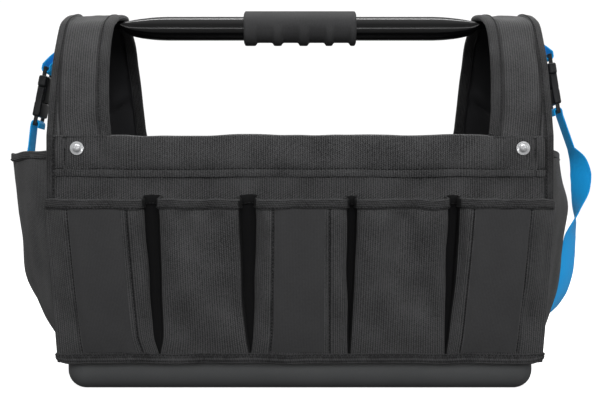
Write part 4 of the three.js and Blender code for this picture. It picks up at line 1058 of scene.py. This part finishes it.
def base_hem():
    """Tape round the bottom of the cloth, its lower edge drawn up a little at the corners."""
    middle = (WALL_FOOT + HEM_TOP) / 2
    length = half_length(middle) + 3.3
    front = half_depth(middle) + POCKET_SEWN + 1.2
    back = half_depth(middle) + 1.2
    radius = 5
    path = []
    for quarter, (sx, y) in enumerate(((1, back), (-1, back), (-1, -front), (1, -front))):
        centre = (sx * (length - radius), y - math.copysign(radius, y))
        for k in range(7):
            angle = (quarter + k / 6) * math.pi / 2
            path.append((centre[0] + radius * math.cos(angle), centre[1] + radius * math.sin(angle)))
    closed = np.array([(x, y, middle) for x, y in path + path[:1]])
    run = lengths_along(closed)
    places = np.linspace(0, run[-1], 300, endpoint=False)
    ring = np.stack([np.interp(places, run, closed[:, axis]) for axis in range(3)], axis=1)
    ahead = np.roll(ring, -1, axis=0) - np.roll(ring, 1, axis=0)
    side = unit(np.stack([ahead[:, 1], -ahead[:, 0], np.zeros(len(ring))], axis=1))
    section = rounded_section(HEM_TOP - WALL_FOOT, 2.6, 0.48, 3)
    rings = []
    stitches = []
    for place, out in zip(ring, side):
        near = max(0, 1 - (length - abs(place[0])) / 9) if place[1] < 0 else 0
        wave = wrinkles((place[0], place[1], 0), 43, 34, 1.5)
        rings.append([
            place + out * b + np.array([0, 0, a + wave + (4 * near if a < 0 else 0)]) for a, b in section])
        stitches.append(place + out * 1.45 + np.array([0, 0, wave + (HEM_TOP - WALL_FOOT) / 2 - 1.4]))
    STITCH_LINES["hem_stitching"] = [np.array(stitches + stitches[:1])]
    skin("base_hem_tape", rings, GROSGRAIN_TAPE, looped=True)


# End pockets: the share of the height from the hem to the mouth, and the left and right pocket's reach in mm.
SIDE_SECTIONS = (
    (-0.05, 0, 0), (0, 1, 1), (0.16, 37.8, 26.6), (0.36, 50.6, 33), (0.55, 52.5, 36.1), (0.71, 53.7, 38),
    (0.85, 57.3, 28.5), (1, 61, 24.3),
)
SIDE_FULLNESS = 2.4


def side_row(end, height, proud=0.0):
    share = (height - HEM_TOP) / (SIDE_TOP - HEM_TOP)
    reach = read_table(SIDE_SECTIONS, share, 1 if end < 0 else 2)
    half = half_depth(height) + FIT + TAPE - PIPING
    across = np.array([-1, -0.96, -0.88, -0.76, -0.6, -0.4, -0.2, 0, 0.2, 0.4, 0.6, 0.76, 0.88, 0.96, 1])
    if end < 0:
        across = -across
    out = half_length(height) + 2.3 + reach * (1 - np.abs(across) ** SIDE_FULLNESS) + proud
    return [(end * x, a * half, height) for a, x in zip(across, out)]


def side_pocket(end):
    heights = (WALL_FOOT + 1, HEM_TOP, 60, 82, 107, 143, 175, 202, SIDE_TOP - 3)
    net = [side_row(end, z) for z in heights]

    def relief(u, v, place):
        edge = 1 - abs(place[1]) / BODY_DEEP
        up = min(1, max(0, (place[2] - HEM_TOP) / 40))
        folds = wrinkles((place[1], 0, place[2] / 5), 47 + end, 17, 2.6)
        slow = wrinkles(place, 51 + end, 50, 2.6)
        pucker = 0.5 * math.exp(-max(place[2] - HEM_TOP, 0) / 10) * math.sin(place[1] / 3.4)
        return min(1, edge * 5) * (up * (folds + slow) + pucker)

    cloth(f"side_pocket_{ENDS[end]}_cloth", net, BALLISTIC_NYLON, 1.8, step=4.4, relief=relief)


def side_mouth(end):
    path = smooth_curve(side_row(end, SIDE_TOP - SIDE_TAPE / 2, -0.6), 60)
    rises = [wrinkles((p[0], p[1], 0), 57 + end, 30, 2.0) for p in path]
    mouth_tape(f"side_pocket_binding_{ENDS[end]}_tape", path, rises, SIDE_TAPE, 3.0)


# Moulded tray

def base_tray():
    """Dish with rounded corners and lower edges, a deep upstand and a soft lip."""
    select_only()
    bpy.ops.mesh.primitive_cube_add(size=1, location=(0, 0, TRAY_LIP / 2 * MM))
    tray = bpy.context.active_object
    tray.name = "base_tray_moulding"
    tray.scale = (2 * TRAY_HALF * MM, 2 * TRAY_DEEP * MM, TRAY_LIP * MM)
    bpy.ops.object.transform_apply(location=True, rotation=False, scale=True)
    bevel_edges(tray, lambda middle, way: abs(way.z) > 0.9, TRAY_CORNER, 8, 0.5)
    bevel_edges(tray, lambda middle, way: middle.z < 0.1, TRAY_FILLET, 8, 0.5)
    remove_faces(tray, lambda middle: middle.z > TRAY_LIP - 0.1)
    apply_modifier(tray, "SOLIDIFY", thickness=TRAY_WALL * MM, offset=-1, use_even_offset=True)
    apply_modifier(tray, "BEVEL", width=0.8 * MM, segments=2, limit_method="ANGLE",
                   angle_limit=math.radians(60))
    smooth(tray, 60)
    finish_piece(tray, TRAY_PLASTIC)


# Handle. The crimp: the share of its length out from the round tube, the share of the change from round to
# flat, and the share of the rise of its middle line.
CRIMP = (
    (0, 0, 0), (0.2, 0.04, 0), (0.4, 0.14, 0), (0.6, 0.3, 0.02), (0.8, 0.58, 0.1), (0.92, 0.84, 0.5),
    (1, 1, 1),
)
FLAT_HALF_WIDTH = high("handle_tube", 1)
FLAT_HALF_THICKNESS = 2.5
CRIMP_LENGTH = 52
CRIMP_END = BODY_HALF - 45.9
UNDER_ARCH = 4.7
FLAT_MIDDLE = ARCH_TOP - UNDER_ARCH - FLAT_HALF_THICKNESS


def tube_ring(x, flat, middle):
    tall = TUBE_RADIUS + (FLAT_HALF_THICKNESS - TUBE_RADIUS) * flat
    wide = TUBE_RADIUS + (FLAT_HALF_WIDTH - TUBE_RADIUS) * flat
    power = 1 - 0.5 * flat
    ring = []
    for k in range(48):
        angle = k / 48 * 2 * math.pi
        c, s = math.cos(angle), math.sin(angle)
        y, z = wide * math.copysign(abs(c) ** power, c), tall * math.copysign(abs(s) ** power, s)
        ring.append((x, y, middle + z))
    return ring


def handle_tube():
    places = np.linspace(0, 1, 17)
    weights = curve_weights(len(CRIMP), np.interp(places, [row[0] for row in CRIMP], range(len(CRIMP))))
    table = weights @ np.array(CRIMP)
    right = [tube_ring(GRIP_HALF - 6, 0, TUBE_MIDDLE)]
    for along, flat, lift in table:
        x = CRIMP_END + (along - 1) * CRIMP_LENGTH
        flat, lift = min(max(flat, 0), 1), min(max(lift, 0), 1)
        right.append(tube_ring(x, flat, TUBE_MIDDLE + (FLAT_MIDDLE - TUBE_MIDDLE) * lift))
    right.append(tube_ring(TUBE_END, 1, FLAT_MIDDLE))
    right = np.array(right)
    left = right[::-1] * (-1, 1, 1)
    skin("handle_tube_steel", np.concatenate([left, right]), BLACK_STEEL, angle=60)


# Finger recesses under the grip: the middle of each, as a share of the grip's length.
FINGERS = (-0.315, -0.085, 0.15, 0.37)
FINGER_HALF = 0.075
FINGER_DEPTH = 3.3
GRIP_ROUND = 2.6


def handle_grip():
    """Moulded sleeve with four finger recesses along its underside."""
    around = np.linspace(0, 2 * math.pi, 48, endpoint=False)
    bore = TUBE_RADIUS - 1

    def hole(x):
        return [(x, bore * math.cos(a), TUBE_MIDDLE + bore * math.sin(a)) for a in around]

    rings = [hole(-GRIP_HALF)]
    for share in np.linspace(-0.5, 0.5, 121):
        short = max(0, GRIP_ROUND - (0.5 - abs(share)) * 2 * GRIP_HALF)
        trim = GRIP_ROUND - math.sqrt(max(GRIP_ROUND ** 2 - short ** 2, 0))
        recess = max(1 / (1 + math.exp((abs(share - middle) - FINGER_HALF) / 0.0035)) for middle in FINGERS)
        ring = []
        for a in around:
            r = GRIP_RADIUS - trim - recess * FINGER_DEPTH * max(-math.sin(a), 0) ** 0.7
            ring.append((share * 2 * GRIP_HALF, r * math.cos(a), TUBE_MIDDLE + r * math.sin(a)))
        rings.append(ring)
    skin("handle_grip_sleeve", [*rings, hole(GRIP_HALF)], GRIP_RUBBER, angle=65)


# Rivets: the share of the head's radius and the height above its seat in mm.
RIVET_HEAD = (
    (0, -2.2), (0.38, -2.2), (0.38, -0.1), (0.93, -0.1), (1, 0.2), (1, 0.75), (0.96, 1.0), (0.92, 1.04),
    (0.66, 1.04), (0.62, 1.2), (0.58, 2.0), (0.49, 2.9), (0.35, 3.7), (0.18, 4.2), (0, 4.4),
)
RIVET_FLANGE = 1.05
HANDLE_RIVET_PRESSED = 0.75


def rivet(node, y, z, way, flat):
    """A head with a rolled flange, over its node's middle, seated at y and z and facing way. Its dome is
    pressed down by the share flat."""
    place = Vector(((high(node, 0) + low(node, 0)) / 2, y, z))
    turn = Vector((0, 0, 1)).rotation_difference(Vector(way))
    rings = []
    for radius, rise in RIVET_HEAD:
        r = max(radius, 0.002) * RIVET_RADIUS
        height = rise - max(rise - RIVET_FLANGE, 0) * flat
        around = [k / 32 * 2 * math.pi for k in range(32)]
        rings.append([place + turn @ Vector((r * math.cos(a), r * math.sin(a), height)) for a in around])
    skin(f"{node}_head", rings, RIVET_NICKEL, angle=40)


def rivets():
    drop = (high("rim_rivet_front_left", 2) + low("rim_rivet_front_left", 2)) / 2
    for face in FACES:
        for end in ENDS:
            out = face * (BODY_DEEP + FIT + TAPE + 0.4)
            rivet(f"rim_rivet_{FACES[face]}_{ENDS[end]}", out, drop, (0, face, 0), 0)
    for end in ENDS:
        rivet(f"handle_rivet_{ENDS[end]}", 0, ARCH_TOP + 0.6, (0, 0, 1), HANDLE_RIVET_PRESSED)


# Straps and buckles. Of each buckle: how far out from the body its middle is in mm, its height as a share of
# the arch's top, and its slant in degrees.
BUCKLES = {-1: (36, 0.775, 11), 1: (30, 0.81, 9)}
BUCKLE_LENGTH = 64
BUCKLE_WIDTH = 33
BUCKLE_THICKNESS = 10
BUCKLE_PARTING = -BUCKLE_LENGTH * 0.09
BUCKLE_BAR = 4
BUCKLE_SLOT = 6
BAR_MIDDLE = BUCKLE_LENGTH / 2 - BUCKLE_BAR / 2
LOOP_RADIUS = BUCKLE_BAR / 2 * math.sqrt(2) + FIT + WEBBING / 2

# The loop above a buckle, as shares of the way out and down to its bar: out, fall outside, fall inside.
LOOP_RUN = ((0, 0, 0), (0.03, 0.28, 0.42), (0.3, 0.56, 0.68), (0.63, 0.74, 0.8))


def on_buckle(end, out, up, across=0.0):
    """A place given in a buckle's own directions: out of its face, up along it and across it."""
    off, height, slant = BUCKLES[end]
    slant = math.radians(slant)
    x = BODY_HALF + off + out * math.cos(slant) - up * math.sin(slant)
    z = ARCH_TOP * height + out * math.sin(slant) + up * math.cos(slant)
    return (end * x, across, z)


def buckle_block(name, end, low_corner, high_corner, round_by, segments=2):
    """A rounded block, given by two corners in the buckle's own directions: out, across, up."""
    middle = [(a + b) / 2 for a, b in zip(low_corner, high_corner)]
    select_only()
    bpy.ops.mesh.primitive_cube_add(size=1)
    block = bpy.context.active_object
    block.name = name
    block.scale = [(b - a) * MM for a, b in zip(low_corner, high_corner)]
    bpy.ops.object.transform_apply(location=False, rotation=False, scale=True)
    bevel_edges(block, lambda place, way: True, round_by, segments, 0.6)
    block.rotation_euler = (0, -end * math.radians(BUCKLES[end][2]), 0)
    block.location = Vector(on_buckle(end, middle[0], middle[2], middle[1])) * MM
    bpy.ops.object.transform_apply(location=True, rotation=True, scale=False)
    return block


def buckle_half(name, end, blocks, edge, inward):
    """One half of a buckle: its blocks, and the frame round the webbing with its bar at the outer edge. The
    frame goes inward from there: up with 1, down with -1."""
    half = BUCKLE_WIDTH / 2
    post = BUCKLE_BAR / 2

    def box(side, across, near, far, round_by):
        low_up, high_up = sorted((edge + inward * near, edge + inward * far))
        return (-post, side - across, low_up), (post, side + across, high_up), round_by

    frame = [box(s * (half - 3.4), 1.7, 0, BUCKLE_BAR + BUCKLE_SLOT + 2, 1.0) for s in (-1, 1)]
    frame.append(box(0, half - 2, 0, BUCKLE_BAR, 1.2))
    piece, *others = [buckle_block(name, end, *block) for block in [*blocks, *frame]]
    for other in others:
        apply_modifier(piece, "BOOLEAN", operation="UNION", object=other, solver="EXACT")
        bpy.data.objects.remove(other)
    smooth(piece, 40)
    finish_piece(piece, BUCKLE_ACETAL)


def buckle_socket(end):
    """The half with the ribbed body and the shoulders that the plug's arms snap behind."""
    half, thick = BUCKLE_WIDTH / 2, BUCKLE_THICKNESS / 2
    waist = half - 4
    foot = BUCKLE_PARTING
    top = BUCKLE_LENGTH / 2 - BUCKLE_BAR - BUCKLE_SLOT
    blocks = [
        ((-thick, -waist, foot), (thick, waist, top), 2.4, 3),
        ((-thick + 0.4, -half, foot + 15.8), (thick - 0.4, half, top), 2.6, 3),
        ((thick - 1, -waist + 4, foot + 3), (thick + 0.7, waist - 4, foot + 6), 0.5),
        ((thick - 1, -waist + 4, foot + 9), (thick + 0.7, waist - 4, foot + 12), 0.5),
    ]
    buckle_half(f"buckle_socket_{ENDS[end]}_moulding", end, blocks, BUCKLE_LENGTH / 2, -1)


def buckle_plug(end):
    """The half with the two sprung arms."""
    half, thick = BUCKLE_WIDTH / 2, BUCKLE_THICKNESS * 0.4
    foot = -BUCKLE_LENGTH / 2 + BUCKLE_BAR + BUCKLE_SLOT
    top = BUCKLE_PARTING
    blocks = [((-thick, -half, foot), (thick, half, top - 0.4), 2.2, 3)]
    for s in (-1, 1):
        arm = s * (half - 1.8)
        blocks.append(((-thick + 0.5, arm - 1.8, foot + 3), (thick - 0.5, arm + 1.8, top + 15.2), 1.2))
    buckle_half(f"buckle_plug_{ENDS[end]}_moulding", end, blocks, -BUCKLE_LENGTH / 2, 1)


def round_bar(end, way, steps=10):
    """Half a turn of webbing round a buckle's bar, from its outer side to its inner side."""
    turn = []
    for k in range(steps + 1):
        angle = k / steps * math.pi
        up = way * (LOOP_RADIUS * math.sin(angle) - BAR_MIDDLE)
        turn.append((*on_buckle(end, LOOP_RADIUS * math.cos(angle), up), 0))
    return turn


def ribbon(name, end, stations):
    """Webbing along stations of (x, y, z, twist in degrees), its width along Y where it isn't twisted."""
    path = np.array([s[:3] for s in stations], float)
    section = rounded_section(WEBBING_WIDTH, WEBBING, 0.48, 2)
    rings = []
    for place, ahead, station in zip(path, unit(np.gradient(path, axis=0)), stations):
        way = Vector(ahead)
        out = Vector((0, 1, 0)).cross(way).normalized()
        side = out if out.x * end > 0 else -out
        twist = math.radians(station[3])
        across = Vector((0, 1, 0)) * math.cos(twist) + side * math.sin(twist)
        thick = way.cross(across).normalized()
        rings.append([Vector(place) + across * a + thick * b for a, b in section])
    skin(name, rings, BLUE_WEBBING, angle=60)


def strap_loop(end):
    start = BODY_HALF + 2 * FIT + TAPE
    top = ARCH_TOP - PIPING
    bar = round_bar(end, -1)
    out_run = abs(bar[0][0]) - start
    in_run = abs(bar[-1][0]) - start
    fall = bar[0][2] - top
    outer = [(end * (start + WEBBING * 1.7 + out_run * a), 0, top + fall * b) for a, b, _ in LOOP_RUN]
    inner = [(end * (start + WEBBING / 2 + in_run * a), 0, top + fall * c) for a, _, c in LOOP_RUN][::-1]
    inner[-1] = (inner[-1][0], 0, top - WEBBING - FIT)
    above = [on_buckle(end, s * LOOP_RADIUS, BAR_MIDDLE + BUCKLE_BAR) for s in (1, -1)]
    down, up = (smooth_curve(points, 14) for points in (outer + above[:1], above[1:] + inner))
    ribbon(f"strap_loop_{ENDS[end]}_webbing", end, [(*p, 0) for p in down] + bar + [(*p, 0) for p in up])


# Where the straps are sewn down: the left one's height on the end as a share of the arch's top, and how far
# the right one stands out over the hem in mm.
LEFT_SEWN = 0.24
OVER_HEM = 5.8

# Straps below the buckle: how far out from the body in mm, the height as a share of the arch's top, and the
# twist in degrees, positive where the front edge turns in towards the body.
STRAPS = {
    -1: (
        (48.5, 0.635, 0), (50, 0.6, -2), (49, 0.55, -2), (45, 0.47, 0), (33, 0.385, 0), (17, 0.32, 0),
        (5, 0.285, 0),
    ),
    1: (
        (51.5, 0.63, 0), (58.9, 0.595, -28), (62, 0.555, -46), (61.4, 0.51, -34), (58, 0.465, -6),
        (55.8, 0.425, 20), (50.8, 0.38, 42), (48.2, 0.33, 50), (46.2, 0.28, 50), (41, 0.225, 42),
        (31.5, 0.175, 20), (13, 0.13, 2),
    ),
}


def strap(end):
    """The strap from the buckle's lower bar down to its seam, which lies inside the left pocket and below the
    right one."""
    if end < 0:
        sewn = ARCH_TOP * LEFT_SEWN
        feet = [(half_length(z) + 3 * FIT + WEBBING / 2, z, 0) for z in (sewn, sewn - WEBBING_WIDTH)]
    else:
        out = half_length(HEM_TOP) + OVER_HEM
        feet = [(out, HEM_TOP + WEBBING, 0), (out, WALL_FOOT + FIT, 0)]
    rows = [(BODY_HALF + off, ARCH_TOP * height, twist) for off, height, twist in STRAPS[end]] + feet
    points = [(end * x, 0, z) for x, z, _ in rows]
    fall = smooth_curve(points, 70)
    fine_run = lengths_along(fall)
    row_run = lengths_along(points)
    twists = np.interp(fine_run / fine_run[-1], row_run / row_run[-1], [row[2] for row in rows])
    inner, outer = ((*on_buckle(end, s * LOOP_RADIUS, -BAR_MIDDLE - BUCKLE_BAR), 0) for s in (-1, 1))
    stations = [inner, *round_bar(end, 1)[::-1], outer, *((*p, t) for p, t in zip(fall, twists))]
    ribbon(f"strap_{ENDS[end]}_webbing", end, stations)


# Everything is made and sewn here

def build():
    base_tray()
    for face in FACES:
        wall(face)
        rim_band(face)
    for end in ENDS:
        end_panel(end)
        arch_band(end)
        arch_binding(end)
        corner_piping(end)
        side_pocket(end)
        side_mouth(end)
    for pocket in range(len(POCKETS)):
        front_pocket(pocket)
        pocket_mouth(pocket)
        if pocket in PATCHED:
            pocket_patch(pocket)
    base_hem()
    handle_tube()
    handle_grip()
    rivets()
    for end in ENDS:
        strap_loop(end)
        buckle_socket(end)
        buckle_plug(end)
        strap(end)


def sew():
    for face in FACES:
        name = f"rim_band_{FACES[face]}_cloth"
        us = SURFACES[name][0]
        lines = [seam_line(name, v=RIM_HEM)]
        for u in (RIM_SIDE_SEAM, us[-1] - RIM_SIDE_SEAM):
            lines.append(seam_line(name, u=u, start=0.15, end=0.55))
        stitched(f"rim_stitching_{FACES[face]}", lines)
    for end in ENDS:
        arch = tape_line(f"arch_binding_{ENDS[end]}_tape", end * 3.9, 3.1)
        mouth = tape_line(f"side_pocket_binding_{ENDS[end]}_tape", 1.55, -SIDE_TAPE / 2 + 1.6)
        stitched(f"arch_stitching_{ENDS[end]}", [arch[3:-3]])
        stitched(f"side_mouth_stitching_{ENDS[end]}", [mouth])
    lines = []
    for pocket in PATCHED:
        run = lengths_along(pocket_row(pocket, POCKET_HEIGHTS[4]))
        for crease in (LEFT_CREASE, RIGHT_CREASE):
            lines.append(seam_line(f"front_pocket_{pocket + 1}_cloth", u=run[crease], start=0.08))
    stitched("pocket_stitching", lines)
    stitched("mouth_stitching", [
        tape_line(f"front_pocket_binding_{pocket + 1}_tape", 1.65, -MOUTH_TAPE / 2 + 1.8)
        for pocket in range(len(POCKETS))])
    for name, lines in STITCH_LINES.items():
        stitched(name, lines)


build()
sew()
